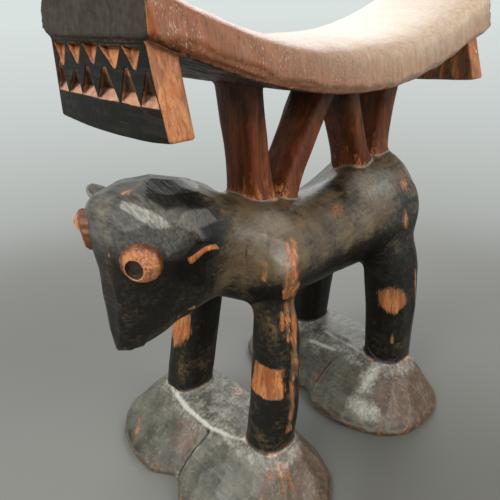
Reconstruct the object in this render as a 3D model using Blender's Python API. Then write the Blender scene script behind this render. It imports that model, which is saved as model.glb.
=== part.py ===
"""Carved wooden headrest: a dished pillow with two hanging lugs, carried by four
zigzag struts on the back of a standing animal with two-lobed bases.

The animal looks along -X, +Z is up, and the origin lies on the ground at the
middle of the object's outline. Sizes are real sizes in metres.
"""

import math

import bmesh
import bpy
from mathutils import Matrix, Vector

MM = 0.001

# Clearance that every carved member keeps to the member it is seated on
SEAT_GAP = 0.3 * MM
# How far a member runs into its neighbour before the seat is cut
SEAT_DEPTH = 6.0 * MM

# Pillow: a bar dished along X and crowned across Y
PILLOW_FRONT = -71.5 * MM
PILLOW_LENGTH = 150.5 * MM
PILLOW_LOW_X = 8.5 * MM
PILLOW_HEIGHT = 136.0 * MM
PILLOW_RISE = 17.0 * MM
PILLOW_HALF_WIDTH = 30.3 * MM
PILLOW_END_HALF_WIDTH = 27.8 * MM
PILLOW_SIDE = 9.0 * MM
PILLOW_CROWN = 8.0 * MM
PILLOW_SIDE_LEAN = 1.8 * MM
PILLOW_FULLNESS = 0.8
PILLOW_RING_COUNT = 19
PILLOW_TOP_POINT_COUNT = 11

# Lugs: flared plates that hang under the pillow's two ends
LUG_SETBACK = 1.5 * MM
LUG_THICKNESS = 6.6 * MM
LUG_ROOT_EXTRA = 0.8 * MM
LUG_BELOW_PILLOW = 2.6 * MM
LUG_BOTTOM_HEIGHT = PILLOW_HEIGHT - LUG_BELOW_PILLOW
LUG_BOTTOM_HALF_WIDTH = 28.2 * MM
LUG_TOP_HALF_WIDTH = 22.8 * MM
LUG_BOTTOM_SAG = 1.4 * MM
LUG_COLUMN_COUNT = 9

# Teeth: two rows of chip cuts across each lug's outer face
TOOTH_UPPER_COUNT = 5
TOOTH_LOWER_COUNT = 6
TOOTH_DEPTH = 2.4 * MM
TOOTH_CLEAR = 0.2 * MM
TOOTH_UPPER_SHARE = 0.55
TOOTH_BAND_SHARE = 0.42
TOOTH_WEB = 0.5 * MM
TOOTH_MARGIN = 1.2 * MM

# Struts: base and top places along X, and the section that they share
FRONT_OUTER_BASE_X = -21.4 * MM
FRONT_OUTER_TOP_X = -24.8 * MM
FRONT_INNER_BASE_X = -11.2 * MM
FRONT_INNER_TOP_X = 10.2 * MM
REAR_INNER_BASE_X = 33.0 * MM
REAR_INNER_TOP_X = 21.4 * MM
REAR_OUTER_BASE_X = 43.0 * MM
REAR_OUTER_TOP_X = 48.4 * MM
STRUT_THICKNESS = 9.8 * MM
STRUT_WIDTH = 15.0 * MM
STRUT_TOP_SWELL = 1.12
STRUT_SQUARENESS = 3.2
STRUT_RING_COUNT = 4

# Torso: sections across X, from the neck to the tail end
BACK_HEIGHT = 100.0 * MM
NECK_RISE = 12.0 * MM
WITHERS_RISE = 5.5 * MM
RUMP_RISE = 8.8 * MM
BELLY_HEIGHT = 62.6 * MM
RUMP_DROP = 2.0 * MM
CHEST_RISE = 6.4 * MM
NECK_BELLY_RISE = 15.5 * MM
NECK_HALF_WIDTH = 14.5 * MM
SHOULDER_HALF_WIDTH = 27.5 * MM
WAIST_HALF_WIDTH = 21.5 * MM
RUMP_HALF_WIDTH = 24.5 * MM
TORSO_FRONT = -54.0 * MM
NECK_X = -46.0 * MM
WAIST_X = 14.0 * MM
RUMP_X = 47.0 * MM
TORSO_REAR = 60.0 * MM
TORSO_SQUARENESS = 1.95
TAIL_BLUNTNESS = 0.16
TAIL_LEVEL = 0.45
TORSO_RING_COUNT = 15
TAIL_RING_COUNT = 6

# Legs: places that the axis bends through, from foot to hip to shoulder, and radii
FORELEG_FOOT_X = -35.6 * MM
FORELEG_HIP_X = -27.5 * MM
HINDLEG_FOOT_X = 36.0 * MM
HINDLEG_HIP_X = 36.5 * MM
LEG_FOOT_Y = 23.3 * MM
LEG_HIP_Y = 22.5 * MM
LEG_SHOULDER_Y = 14.0 * MM
LEG_SHOULDER_SHARE = 0.62
LEG_SQUARENESS = 2.3
FORELEG_FOOT_RADIUS = 7.8 * MM
FORELEG_HIP_RADIUS = 6.9 * MM
HINDLEG_FOOT_RADIUS = 8.8 * MM
HINDLEG_HIP_RADIUS = 10.4 * MM
KNEE_SWELL = 0.5 * MM
LEG_ROOT_TAPER = 0.45
LEG_RING_COUNT = 10

# Bases: one two-lobed mound under each pair of legs
BASE_HEIGHT = 20.4 * MM
BASE_LIP = 2.6 * MM
BASE_HALF_LENGTH = 27.6 * MM
BASE_HALF_WIDTH = 47.5 * MM
BASE_TOP_MARGIN = 2.2 * MM
BASE_FORWARD = 6.0 * MM
BASE_SQUARENESS = 3.0
BASE_FOOT_INSET = 0.04
BASE_SLOPE_CURVE = 1.15
BASE_SLOPE_RING_COUNT = 6
BASE_WAIST = 0.28
BASE_WAIST_REACH = 9.0 * MM

# Head: sections across Z, from the jaw to the crown
HEAD_FRONT = -77.8 * MM
HEAD_LENGTH = 36.0 * MM
HEAD_JAW_HEIGHT = 67.0 * MM
HEAD_CROWN_HEIGHT = 117.6 * MM
HEAD_HALF_WIDTH = 17.2 * MM
HEAD_SQUARENESS = 2.3
HEAD_WEDGE = 0.22

# Eyes: short barrels with a pit for the pupil
EYE_HEIGHT = 101.5 * MM
EYE_SIDE = 13.6 * MM
EYE_BACK = 6.9 * MM
EYE_TURN = math.radians(38.0)
EYE_DROP = math.radians(10.0)
EYE_ROOT_RADIUS = 5.8 * MM
EYE_RIM_RADIUS = 4.6 * MM
EYE_STAND = 5.0 * MM
PUPIL_RADIUS = 2.7 * MM
PUPIL_DEPTH = 1.5 * MM

# Ears: cupped leaves that stand out sideways
EAR_HEIGHT = 100.0 * MM
EAR_ROOT_BACK = 21.0 * MM
EAR_LENGTH = 17.5 * MM
EAR_WIDTH = 8.4 * MM
EAR_THICKNESS = 2.6 * MM
EAR_CUP = 1.6 * MM
EAR_TIP_SHARE = 0.35
EAR_RING_COUNT = 6
EAR_POINT_COUNT = 9
EAR_TURN = math.radians(28.0)
EAR_LIFT = math.radians(24.0)

# Facets of the round sections
BODY_POINT_COUNT = 24
LEG_POINT_COUNT = 16
STRUT_POINT_COUNT = 16
BASE_POINT_COUNT = 40
EYE_POINT_COUNT = 20

# Finishes: colour, roughness
BROWN_WOOD = (0.27, 0.115, 0.048), 0.5
SHADED_BROWN_WOOD = (0.16, 0.064, 0.03), 0.55
BURNT_WOOD = (0.024, 0.022, 0.02), 0.5
DUSTY_WOOD = (0.085, 0.08, 0.07), 0.6
BARE_WOOD = (0.46, 0.17, 0.06), 0.55


def between(a, b, share):
    """The value a given share of the way from a to b."""
    return a + (b - a) * share


def ease(share):
    """A share from 0 to 1 with level ends."""
    return share * share * (3.0 - 2.0 * share)


def through(stations, x):
    """Smooth values at x through stations of (x, values), with level ends."""
    if x <= stations[0][0]:
        return stations[0][1]
    for (x0, v0), (x1, v1) in zip(stations, stations[1:]):
        if x <= x1:
            share = ease((x - x0) / (x1 - x0))
            return [between(a, b, share) for a, b in zip(v0, v1)]
    return stations[-1][1]


def unit_ring(count, squareness):
    """Points of a superellipse of half width 1, as (along, across) pairs."""
    ring = []
    for i in range(count):
        turn = 2.0 * math.pi * i / count
        c, s = math.cos(turn), math.sin(turn)
        along = math.copysign(abs(c) ** (2.0 / squareness), c)
        across = math.copysign(abs(s) ** (2.0 / squareness), s)
        ring.append((along, across))
    return ring


def mesh_from(bm, name):
    """A mesh with outward faces from a finished bmesh."""
    bmesh.ops.recalc_face_normals(bm, faces=bm.faces)
    mesh = bpy.data.meshes.new(name)
    bm.to_mesh(mesh)
    bm.free()
    return mesh


def skin(name, rings):
    """A closed mesh through rings of equal length, capped at both ends."""
    bm = bmesh.new()
    loops = [[bm.verts.new(point) for point in ring] for ring in rings]
    for lower, upper in zip(loops, loops[1:]):
        for i in range(len(lower)):
            j = (i + 1) % len(lower)
            bm.faces.new((lower[i], lower[j], upper[j], upper[i]))
    bm.faces.new(reversed(loops[0]))
    bm.faces.new(loops[-1])
    return mesh_from(bm, name)


def finish(name, colour, roughness):
    """A plain wood finish."""
    material = bpy.data.materials.new(name)
    material.use_nodes = True
    shader = material.node_tree.nodes["Principled BSDF"]
    shader.inputs["Base Color"].default_value = (*colour, 1.0)
    shader.inputs["Roughness"].default_value = roughness
    shader.inputs["Metallic"].default_value = 0.0
    return material


def member(name, mesh, look):
    """A carved member in the scene, with its own finish and soft shading."""
    obj = bpy.data.objects.new(name, mesh)
    bpy.context.scene.collection.objects.link(obj)
    mesh.materials.append(finish(name, *look))
    mesh.shade_smooth()
    mesh.set_sharp_from_angle(angle=math.radians(40.0))
    return obj


def cutter(name, mesh):
    """A hidden helper that shapes a seat."""
    obj = bpy.data.objects.new(name, mesh)
    bpy.context.scene.collection.objects.link(obj)
    obj.hide_render = True
    obj.display_type = "WIRE"
    return obj


def seat(obj, *cutters):
    """Cuts the seats that the object has against its neighbours."""
    for tool in cutters:
        cut = obj.modifiers.new("seat_" + tool.name, "BOOLEAN")
        cut.operation = "DIFFERENCE"
        cut.solver = "EXACT"
        cut.object = tool


# Pillow and lugs


def pillow_bend(x):
    """How far the pillow has risen above its low point at x."""
    reach = PILLOW_LENGTH / 2.0
    return PILLOW_RISE * ((x - PILLOW_LOW_X) / reach) ** 2


def pillow_half_width(x):
    """Half the pillow's width at x: it narrows towards both ends."""
    reach = PILLOW_LENGTH / 2.0
    middle = PILLOW_FRONT + reach
    share = ((x - middle) / reach) ** 2
    return between(PILLOW_HALF_WIDTH, PILLOW_END_HALF_WIDTH, share)


def pillow_ring(x, grow):
    """The pillow's section at x: flat underneath, upright sides, crowned top."""
    low = PILLOW_HEIGHT + pillow_bend(x) - grow
    wide = pillow_half_width(x) + grow
    shoulder = low + PILLOW_SIDE + 2.0 * grow
    top_wide = wide - PILLOW_SIDE_LEAN
    ring = [Vector((x, -wide, low)), Vector((x, 0.0, low)), Vector((x, wide, low))]
    for i in range(PILLOW_TOP_POINT_COUNT):
        turn = math.pi * i / (PILLOW_TOP_POINT_COUNT - 1)
        across = math.copysign(abs(math.cos(turn)) ** PILLOW_FULLNESS, math.cos(turn))
        ring.append(Vector((x, top_wide * across, shoulder + PILLOW_CROWN * math.sin(turn))))
    return ring


def pillow_mesh(name, grow=0.0):
    """The pillow, or with grow the space that its neighbours keep clear of."""
    rings = []
    for i in range(PILLOW_RING_COUNT):
        share = i / (PILLOW_RING_COUNT - 1)
        x = between(PILLOW_FRONT - grow, PILLOW_FRONT + PILLOW_LENGTH + grow, share)
        rings.append(pillow_ring(x, grow))
    return skin(name, rings)


def lug_faces(end):
    """Outer face of a lug and the way inwards: end is -1 in front, 1 behind."""
    outer = PILLOW_FRONT + LUG_SETBACK
    if end > 0:
        outer = PILLOW_FRONT + PILLOW_LENGTH - LUG_SETBACK
    return outer, -end


def lug_root_height(end):
    """Where the lug's outer face meets the pillow's underside."""
    outer, _ = lug_faces(end)
    return PILLOW_HEIGHT + pillow_bend(outer)


def lug_half_width(end, z):
    """Half the lug's width at height z: it flares downwards."""
    share = (z - LUG_BOTTOM_HEIGHT) / (lug_root_height(end) - LUG_BOTTOM_HEIGHT)
    return between(LUG_BOTTOM_HALF_WIDTH, LUG_TOP_HALF_WIDTH, share)


def lug_mesh(name, end):
    """A lug as stacked four-cornered sections, its lowest edge an arc."""
    outer, inward = lug_faces(end)
    root = lug_root_height(end)
    top = root + SEAT_DEPTH
    bm = bmesh.new()
    rows = []
    for z in (LUG_BOTTOM_HEIGHT, top):
        share = (z - LUG_BOTTOM_HEIGHT) / (root - LUG_BOTTOM_HEIGHT)
        half = lug_half_width(end, z)
        thick = LUG_THICKNESS + LUG_ROOT_EXTRA * share
        row = []
        for i in range(LUG_COLUMN_COUNT):
            across = 2.0 * i / (LUG_COLUMN_COUNT - 1) - 1.0
            sag = LUG_BOTTOM_SAG * (1.0 - across * across) if z == LUG_BOTTOM_HEIGHT else 0.0
            outside = bm.verts.new((outer, half * across, z - sag))
            inside = bm.verts.new((outer + inward * thick, half * across, z - sag))
            row.append((outside, inside))
        rows.append(row)
    low, high = rows
    for a, b, c, d in zip(low, low[1:], high, high[1:]):
        bm.faces.new((a[0], b[0], d[0], c[0]))
        bm.faces.new((a[1], c[1], d[1], b[1]))
        bm.faces.new((a[0], a[1], b[1], b[0]))
        bm.faces.new((c[0], d[0], d[1], c[1]))
    bm.faces.new((low[0][0], high[0][0], high[0][1], low[0][1]))
    bm.faces.new((low[-1][0], low[-1][1], high[-1][1], high[-1][0]))
    return mesh_from(bm, name)


def add_chip(bm, face, inward, left, right, stop, apex):
    """One three-cornered chip: deepest along its stop cut, none at its apex."""
    clear = face - inward * TOOTH_CLEAR
    deep = face + inward * TOOTH_DEPTH
    middle = (left + right) / 2.0
    # The floor runs through the apex on the face and on to the clear side
    past = apex + (apex - stop) * TOOTH_CLEAR / TOOTH_DEPTH
    outline = [(clear, left, stop), (clear, right, stop), (clear, middle, past)]
    floor = [(deep, left, stop), (deep, right, stop)]
    a, b, c, d, e = [bm.verts.new(point) for point in outline + floor]
    for corners in ((a, b, c), (a, d, e, b), (d, c, e), (a, c, d), (b, e, c)):
        bm.faces.new(corners)


def teeth_mesh(name, end):
    """Both rows of chip cuts on one lug."""
    face, inward = lug_faces(end)
    seat_height = PILLOW_HEIGHT + pillow_bend(face + inward * TOOTH_DEPTH) - SEAT_GAP
    upper_stop = seat_height - TOOTH_MARGIN
    lower_stop = between(LUG_BOTTOM_HEIGHT, upper_stop, TOOTH_BAND_SHARE)
    meeting = between(upper_stop, lower_stop, TOOTH_UPPER_SHARE)
    upper_apex = meeting + TOOTH_WEB
    lower_apex = meeting - TOOTH_WEB
    rows = [
        (TOOTH_UPPER_COUNT, upper_stop, upper_apex),
        (TOOTH_LOWER_COUNT, lower_stop, lower_apex),
    ]
    bm = bmesh.new()
    for count, stop, apex in rows:
        reach = lug_half_width(end, stop) - TOOTH_MARGIN
        pitch = 2.0 * reach / count
        for i in range(count):
            left = -reach + i * pitch
            add_chip(bm, face, inward, left, left + pitch - TOOTH_WEB, stop, apex)
    return mesh_from(bm, name)


# Animal


def torso_stations():
    """Top, bottom and half width of the torso at its named places along X."""
    back, belly = BACK_HEIGHT, BELLY_HEIGHT
    neck = [back + NECK_RISE, belly + NECK_BELLY_RISE, NECK_HALF_WIDTH]
    withers = [back + WITHERS_RISE, belly + CHEST_RISE, SHOULDER_HALF_WIDTH]
    waist = [back, belly, WAIST_HALF_WIDTH]
    rump = [back + RUMP_RISE, belly - RUMP_DROP, RUMP_HALF_WIDTH]
    return [(NECK_X, neck), (FORELEG_HIP_X, withers), (WAIST_X, waist), (RUMP_X, rump)]


def torso_mesh(name, grow=0.0):
    """The torso with the neck, or with grow the space its neighbours leave free."""
    stations = torso_stations()
    rear = TORSO_REAR + grow
    places = [TORSO_FRONT - grow]
    for i in range(1, TORSO_RING_COUNT + 1):
        places.append(between(TORSO_FRONT, RUMP_X, i / TORSO_RING_COUNT))
    for i in range(1, TAIL_RING_COUNT + 1):
        turn = math.pi / 2.0 * i / TAIL_RING_COUNT
        places.append(between(RUMP_X, rear, math.sin(turn)))
    rings = []
    outline = unit_ring(BODY_POINT_COUNT, TORSO_SQUARENESS)
    for x in places:
        top, bottom, half = through(stations, x)
        share = max(0.0, (x - RUMP_X) / (rear - RUMP_X))
        round_off = max(math.sqrt(max(0.0, 1.0 - share * share)), TAIL_BLUNTNESS)
        middle = between((top + bottom) / 2.0, between(bottom, top, TAIL_LEVEL), share)
        tall = (top - bottom) / 2.0 * round_off + grow
        wide = half * round_off + grow
        rings.append([Vector((x, wide * c, middle + tall * s)) for c, s in outline])
    return skin(name, rings)


def head_mesh(name, grow=0.0):
    """The head as level sections: jaw, muzzle, eye line, brow and crown."""
    front, length, half = HEAD_FRONT, HEAD_LENGTH, HEAD_HALF_WIDTH
    height = HEAD_CROWN_HEIGHT - HEAD_JAW_HEIGHT
    # Share of height, then front setback, length and half width as shares
    sections = [
        (0.00, 0.03, 0.30, 0.14),
        (0.07, 0.01, 0.56, 0.30),
        (0.18, 0.00, 0.76, 0.50),
        (0.34, 0.00, 0.92, 0.72),
        (0.50, 0.02, 0.97, 0.90),
        (0.66, 0.04, 0.96, 1.00),
        (0.80, 0.08, 0.91, 1.00),
        (0.91, 0.16, 0.78, 0.86),
        (0.97, 0.24, 0.62, 0.64),
        (1.00, 0.34, 0.42, 0.34),
    ]
    outline = unit_ring(BODY_POINT_COUNT, HEAD_SQUARENESS)
    rings = []
    for rise, setback, share, wide in sections:
        z = HEAD_JAW_HEIGHT - grow + (height + 2.0 * grow) * rise
        half_x = length * share / 2.0 + grow
        x = front + length * setback - grow + half_x
        ring = []
        for c, s in outline:
            narrow = 1.0 + HEAD_WEDGE * c
            ring.append(Vector((x + half_x * c, (half * wide + grow) * s * narrow, z)))
        rings.append(ring)
    return skin(name, rings)


def leg_mesh(name, foot, hip, shoulder, foot_radius, hip_radius):
    """A leg: a round post with a swollen knee that bends inwards to the torso."""
    outline = unit_ring(LEG_POINT_COUNT, LEG_SQUARENESS)
    rings = []
    for i in range(LEG_RING_COUNT + 1):
        share = i / LEG_RING_COUNT
        centre = foot.lerp(hip, share).lerp(hip.lerp(shoulder, share), share)
        swell = KNEE_SWELL * math.sin(math.pi * share)
        taper = 1.0 - LEG_ROOT_TAPER * max(0.0, 2.0 * share - 1.0) ** 2
        radius = (between(foot_radius, hip_radius, ease(share)) + swell) * taper
        rings.append([centre + Vector((radius * c, radius * s, 0.0)) for c, s in outline])
    return skin(name, rings)


def base_mesh(name, leg_x, leg_radius):
    """A two-lobed mound whose level top carries a pair of legs."""
    outline = unit_ring(BASE_POINT_COUNT, BASE_SQUARENESS)
    top_half_length = leg_radius + BASE_TOP_MARGIN
    top_half_width = LEG_FOOT_Y + leg_radius + BASE_TOP_MARGIN
    lip = BASE_LIP / BASE_HEIGHT
    profile = [(0.0, BASE_FOOT_INSET), (lip, 0.0)]
    for i in range(1, BASE_SLOPE_RING_COUNT + 1):
        share = i / BASE_SLOPE_RING_COUNT
        profile.append((between(lip, 1.0, share), share ** BASE_SLOPE_CURVE))
    rings = []
    for rise, inward in profile:
        half_x = between(BASE_HALF_LENGTH, top_half_length, inward)
        half_y = between(BASE_HALF_WIDTH, top_half_width, inward)
        centre = leg_x - BASE_FORWARD * (1.0 - inward)
        waist = BASE_WAIST * (1.0 - rise)
        ring = []
        for c, s in outline:
            y = half_y * s
            pinch = 1.0 - waist * math.exp(-((y / BASE_WAIST_REACH) ** 2))
            ring.append(Vector((centre + half_x * c * pinch, y, BASE_HEIGHT * rise)))
        rings.append(ring)
    return skin(name, rings)


def strut_mesh(name, base_x, top_x):
    """A strut: a squared post that leans from the back up to the pillow."""
    foot_z = BACK_HEIGHT - SEAT_DEPTH
    head_z = PILLOW_HEIGHT + pillow_bend(top_x)
    lean = (top_x - base_x) / (head_z - BACK_HEIGHT)
    outline = unit_ring(STRUT_POINT_COUNT, STRUT_SQUARENESS)
    rings = []
    for i in range(STRUT_RING_COUNT + 1):
        share = i / STRUT_RING_COUNT
        z = between(foot_z, head_z + SEAT_DEPTH, share)
        x = base_x + lean * (z - BACK_HEIGHT)
        swell = between(1.0, STRUT_TOP_SWELL, share)
        half_x = STRUT_THICKNESS / 2.0
        half_y = STRUT_WIDTH / 2.0 * swell
        rings.append([Vector((x + half_x * c, half_y * s, z)) for c, s in outline])
    return skin(name, rings)


def eye_mesh(name):
    """An eye along +Z: a tapered barrel with a pit in its end for the pupil."""
    profile = [
        (EYE_ROOT_RADIUS, -SEAT_DEPTH),
        (EYE_ROOT_RADIUS, EYE_STAND * 0.35),
        (EYE_RIM_RADIUS, EYE_STAND),
        (PUPIL_RADIUS, EYE_STAND),
        (PUPIL_RADIUS * 0.6, EYE_STAND - PUPIL_DEPTH),
    ]
    outline = unit_ring(EYE_POINT_COUNT, 2.0)
    rings = [[Vector((r * c, r * s, z)) for c, s in outline] for r, z in profile]
    return skin(name, rings)


def ear_mesh(name):
    """An ear along +Z: a leaf that is cupped across its width."""
    rings = []
    for i in range(EAR_RING_COUNT + 1):
        share = i / EAR_RING_COUNT
        z = between(-SEAT_DEPTH, EAR_LENGTH, share)
        half = EAR_WIDTH / 2.0 * max(EAR_TIP_SHARE, math.sqrt(1.0 - share ** 3))
        thick = EAR_THICKNESS * between(1.0, 0.6, share)
        over, under = [], []
        for j in range(EAR_POINT_COUNT):
            across = 2.0 * j / (EAR_POINT_COUNT - 1) - 1.0
            cup = EAR_CUP * (1.0 - across * across)
            edge = between(1.0, math.sqrt(1.0 - across * across), 0.75)
            over.append(Vector((half * across, cup + thick / 2.0 * edge, z)))
            under.append(Vector((half * across, cup - thick / 2.0 * edge, z)))
        rings.append(over + under[::-1])
    return skin(name, rings)


def place(obj, spot, pointing, up):
    """Stands a member that was built along +Z at a spot on the head."""
    z = pointing.normalized()
    x = up.cross(z).normalized()
    y = z.cross(x)
    turn = Matrix((x, y, z)).transposed().to_4x4()
    obj.matrix_world = Matrix.Translation(spot) @ turn


def build():
    """Makes every member, then cuts the seats between them."""
    for obj in list(bpy.data.objects):
        bpy.data.objects.remove(obj)

    pillow_space = cutter("pillow_space", pillow_mesh("pillow_space", SEAT_GAP))
    torso_space = cutter("torso_space", torso_mesh("torso_space", SEAT_GAP))
    head_space = cutter("head_space", head_mesh("head_space", SEAT_GAP))

    member("pillow", pillow_mesh("pillow"), BROWN_WOOD)
    for name, end in (("front_lug", -1), ("rear_lug", 1)):
        lug = member(name, lug_mesh(name, end), BURNT_WOOD)
        teeth = cutter(name + "_teeth", teeth_mesh(name + "_teeth", end))
        seat(lug, pillow_space, teeth)

    torso = member("torso", torso_mesh("torso"), BURNT_WOOD)
    seat(torso, head_space)
    member("head", head_mesh("head"), BURNT_WOOD)

    struts = [
        ("strut_front_outer", FRONT_OUTER_BASE_X, FRONT_OUTER_TOP_X),
        ("strut_front_inner", FRONT_INNER_BASE_X, FRONT_INNER_TOP_X),
        ("strut_rear_inner", REAR_INNER_BASE_X, REAR_INNER_TOP_X),
        ("strut_rear_outer", REAR_OUTER_BASE_X, REAR_OUTER_TOP_X),
    ]
    for name, base_x, top_x in struts:
        strut = member(name, strut_mesh(name, base_x, top_x), SHADED_BROWN_WOOD)
        seat(strut, pillow_space, torso_space)

    pairs = [
        ("front", FORELEG_FOOT_X, FORELEG_HIP_X, FORELEG_FOOT_RADIUS, FORELEG_HIP_RADIUS),
        ("rear", HINDLEG_FOOT_X, HINDLEG_HIP_X, HINDLEG_FOOT_RADIUS, HINDLEG_HIP_RADIUS),
    ]
    shoulder_z = between(BELLY_HEIGHT, BACK_HEIGHT, LEG_SHOULDER_SHARE)
    for pair, foot_x, hip_x, foot_radius, hip_radius in pairs:
        base = pair + "_base"
        member(base, base_mesh(base, foot_x, foot_radius), DUSTY_WOOD)
        for side, sign in (("left", -1.0), ("right", 1.0)):
            name = f"{pair}_{side}_leg"
            foot = Vector((foot_x, sign * LEG_FOOT_Y, BASE_HEIGHT + SEAT_GAP))
            hip = Vector((hip_x, sign * LEG_HIP_Y, BELLY_HEIGHT))
            shoulder = Vector((hip_x, sign * LEG_SHOULDER_Y, shoulder_z))
            mesh = leg_mesh(name, foot, hip, shoulder, foot_radius, hip_radius)
            seat(member(name, mesh, BURNT_WOOD), torso_space)

    up = Vector((0.0, 0.0, 1.0))
    for side, sign in (("left", -1.0), ("right", 1.0)):
        eye = member(f"{side}_eye", eye_mesh(f"{side}_eye"), BARE_WOOD)
        look = Vector((-math.cos(EYE_TURN), sign * math.sin(EYE_TURN), -math.sin(EYE_DROP)))
        place(eye, Vector((HEAD_FRONT + EYE_BACK, sign * EYE_SIDE, EYE_HEIGHT)), look, up)
        seat(eye, head_space)
        ear = member(f"{side}_ear", ear_mesh(f"{side}_ear"), BURNT_WOOD)
        out = Vector((-math.sin(EAR_TURN), sign * math.cos(EAR_TURN), math.sin(EAR_LIFT)))
        root = Vector((HEAD_FRONT + EAR_ROOT_BACK, sign * HEAD_HALF_WIDTH, EAR_HEIGHT))
        place(ear, root, out, up)
        seat(ear, head_space)


build()
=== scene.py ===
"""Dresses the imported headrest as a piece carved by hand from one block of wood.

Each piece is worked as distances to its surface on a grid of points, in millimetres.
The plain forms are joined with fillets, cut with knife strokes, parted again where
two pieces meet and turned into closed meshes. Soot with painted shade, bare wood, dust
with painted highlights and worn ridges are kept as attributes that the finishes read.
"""

import functools
import math
import bpy
import numpy as np
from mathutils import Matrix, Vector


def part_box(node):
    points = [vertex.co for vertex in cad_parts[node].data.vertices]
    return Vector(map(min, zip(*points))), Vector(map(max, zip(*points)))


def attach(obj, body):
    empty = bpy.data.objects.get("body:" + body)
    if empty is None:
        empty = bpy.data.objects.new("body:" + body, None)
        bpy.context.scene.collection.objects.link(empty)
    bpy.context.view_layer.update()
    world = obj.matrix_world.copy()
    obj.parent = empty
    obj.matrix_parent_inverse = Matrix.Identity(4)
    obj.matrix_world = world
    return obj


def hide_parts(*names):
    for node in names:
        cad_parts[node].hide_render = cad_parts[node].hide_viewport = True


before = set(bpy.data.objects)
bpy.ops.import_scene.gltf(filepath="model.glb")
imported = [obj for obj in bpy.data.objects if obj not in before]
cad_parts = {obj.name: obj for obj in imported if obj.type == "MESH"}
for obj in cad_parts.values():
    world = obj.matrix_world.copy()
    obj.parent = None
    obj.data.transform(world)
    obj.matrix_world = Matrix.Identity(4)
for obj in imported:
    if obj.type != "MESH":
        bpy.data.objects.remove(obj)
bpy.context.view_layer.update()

import openvdb
from bpy.props import FloatProperty, FloatVectorProperty, IntProperty, PointerProperty
from mathutils import Matrix, Vector

bl_info = {
    "name": "Carved headrest",
    "version": (1, 0, 0),
    "blender": (4, 5, 0),
    "location": "View3D > Sidebar > Headrest",
    "description": "Carves and finishes the pieces of a wooden headrest",
    "category": "Object",
}

MM = 0.001
FAR = 40.0
MARGIN = 2.4
ROOM = {"head": 6.0, "torso": 6.5, "left_eye": 4.0, "right_eye": 6.0, "right_ear": 4.0}
SIDES = {"left": -1.0, "right": 1.0}


def box_mm(node):
    """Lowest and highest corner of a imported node, in millimetres."""
    low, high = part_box(node)
    return np.array(low) / MM, np.array(high) / MM


BOX = {node: box_mm(node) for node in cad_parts}


# Settings


def length(label, text, mm):
    """A size of the headrest, given in millimetres."""
    return FloatProperty(
        name=label, description=text, default=mm * MM, unit="LENGTH", subtype="DISTANCE", precision=4
    )


def share(label, text, value):
    """A share from nothing to all."""
    return FloatProperty(
        name=label, description=text, default=value, min=0.0, max=1.0, subtype="FACTOR"
    )


def turn(label, text, degrees):
    """An angle, given in degrees."""
    return FloatProperty(
        name=label, description=text, default=math.radians(degrees), subtype="ANGLE"
    )


def colour(label, text, rgb):
    """A colour of a finish."""
    return FloatVectorProperty(
        name=label, description=text, default=rgb, size=3, min=0.0, max=1.0, subtype="COLOR"
    )


def number(label, text, value):
    """A count of like things."""
    return IntProperty(name=label, description=text, default=value, min=1)


class PillowSettings(bpy.types.PropertyGroup):
    """Sizes of the dished pillow."""

    dip: length("Dip", "Rise of the pillow from its low point to its ends", 17.0)
    low_point: length("Low point", "Where the pillow is lowest along its length", 8.5)
    end_half_width: length("End half width", "Half the pillow's width at its ends", 27.8)
    side_height: length("Side height", "Height of the upright side band", 9.0)
    crown: length("Crown", "Rise of the top from its sides to its middle", 8.0)
    front_drop: length("Front drop", "How much less the front half is crowned", 2.8)
    side_lean: length("Side lean", "How far the side band leans inwards", 1.8)
    end_bevel: length("End bevel", "Width of the bevel on the front end's near corner", 2.4)
    step: length("Grid step", "Spacing of the points that the pillow is worked on", 0.6)


class LugSettings(bpy.types.PropertyGroup):
    """Sizes of the two hanging lugs and their chip cuts."""

    sag: length("Bottom sag", "How far the lowest edge bows down in its middle", 1.4)
    top_half_width: length("Top half width", "Half the lug's width under the pillow on its near side", 22.8)
    far_top_half_width: length("Far top half width", "The same on its far side", 27.0)
    bevel: length("Bevel", "Drop of the sloping stop of the lower chip cuts", 4.2)
    upper_margin: length("Upper margin", "Wood left above the upper chip cuts", 0.6)
    band: length("Lower band", "Height of the plain band under the lower chip cuts", 7.4)
    depth: length("Cut depth", "How deep a chip cut is at its stop", 2.5)
    jitter: share("Unevenness", "How much one cut's depth differs from the next", 0.12)
    seed: number("Seed", "Start of the random draws for the cuts", 4)
    step: length("Grid step", "Spacing of the points that a lug is worked on", 0.26)


class StrutSettings(bpy.types.PropertyGroup):
    """Sizes of the four leaning struts."""

    thickness: length("Thickness", "Thickness of a strut along the body", 9.8)
    swell: share("Top swell", "How much a strut widens towards the pillow", 0.12)
    base_flare: length("Base flare", "How far a strut spreads where it leaves the back", 1.4)
    step: length("Grid step", "Spacing of the points that a strut is worked on", 0.33)


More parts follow.
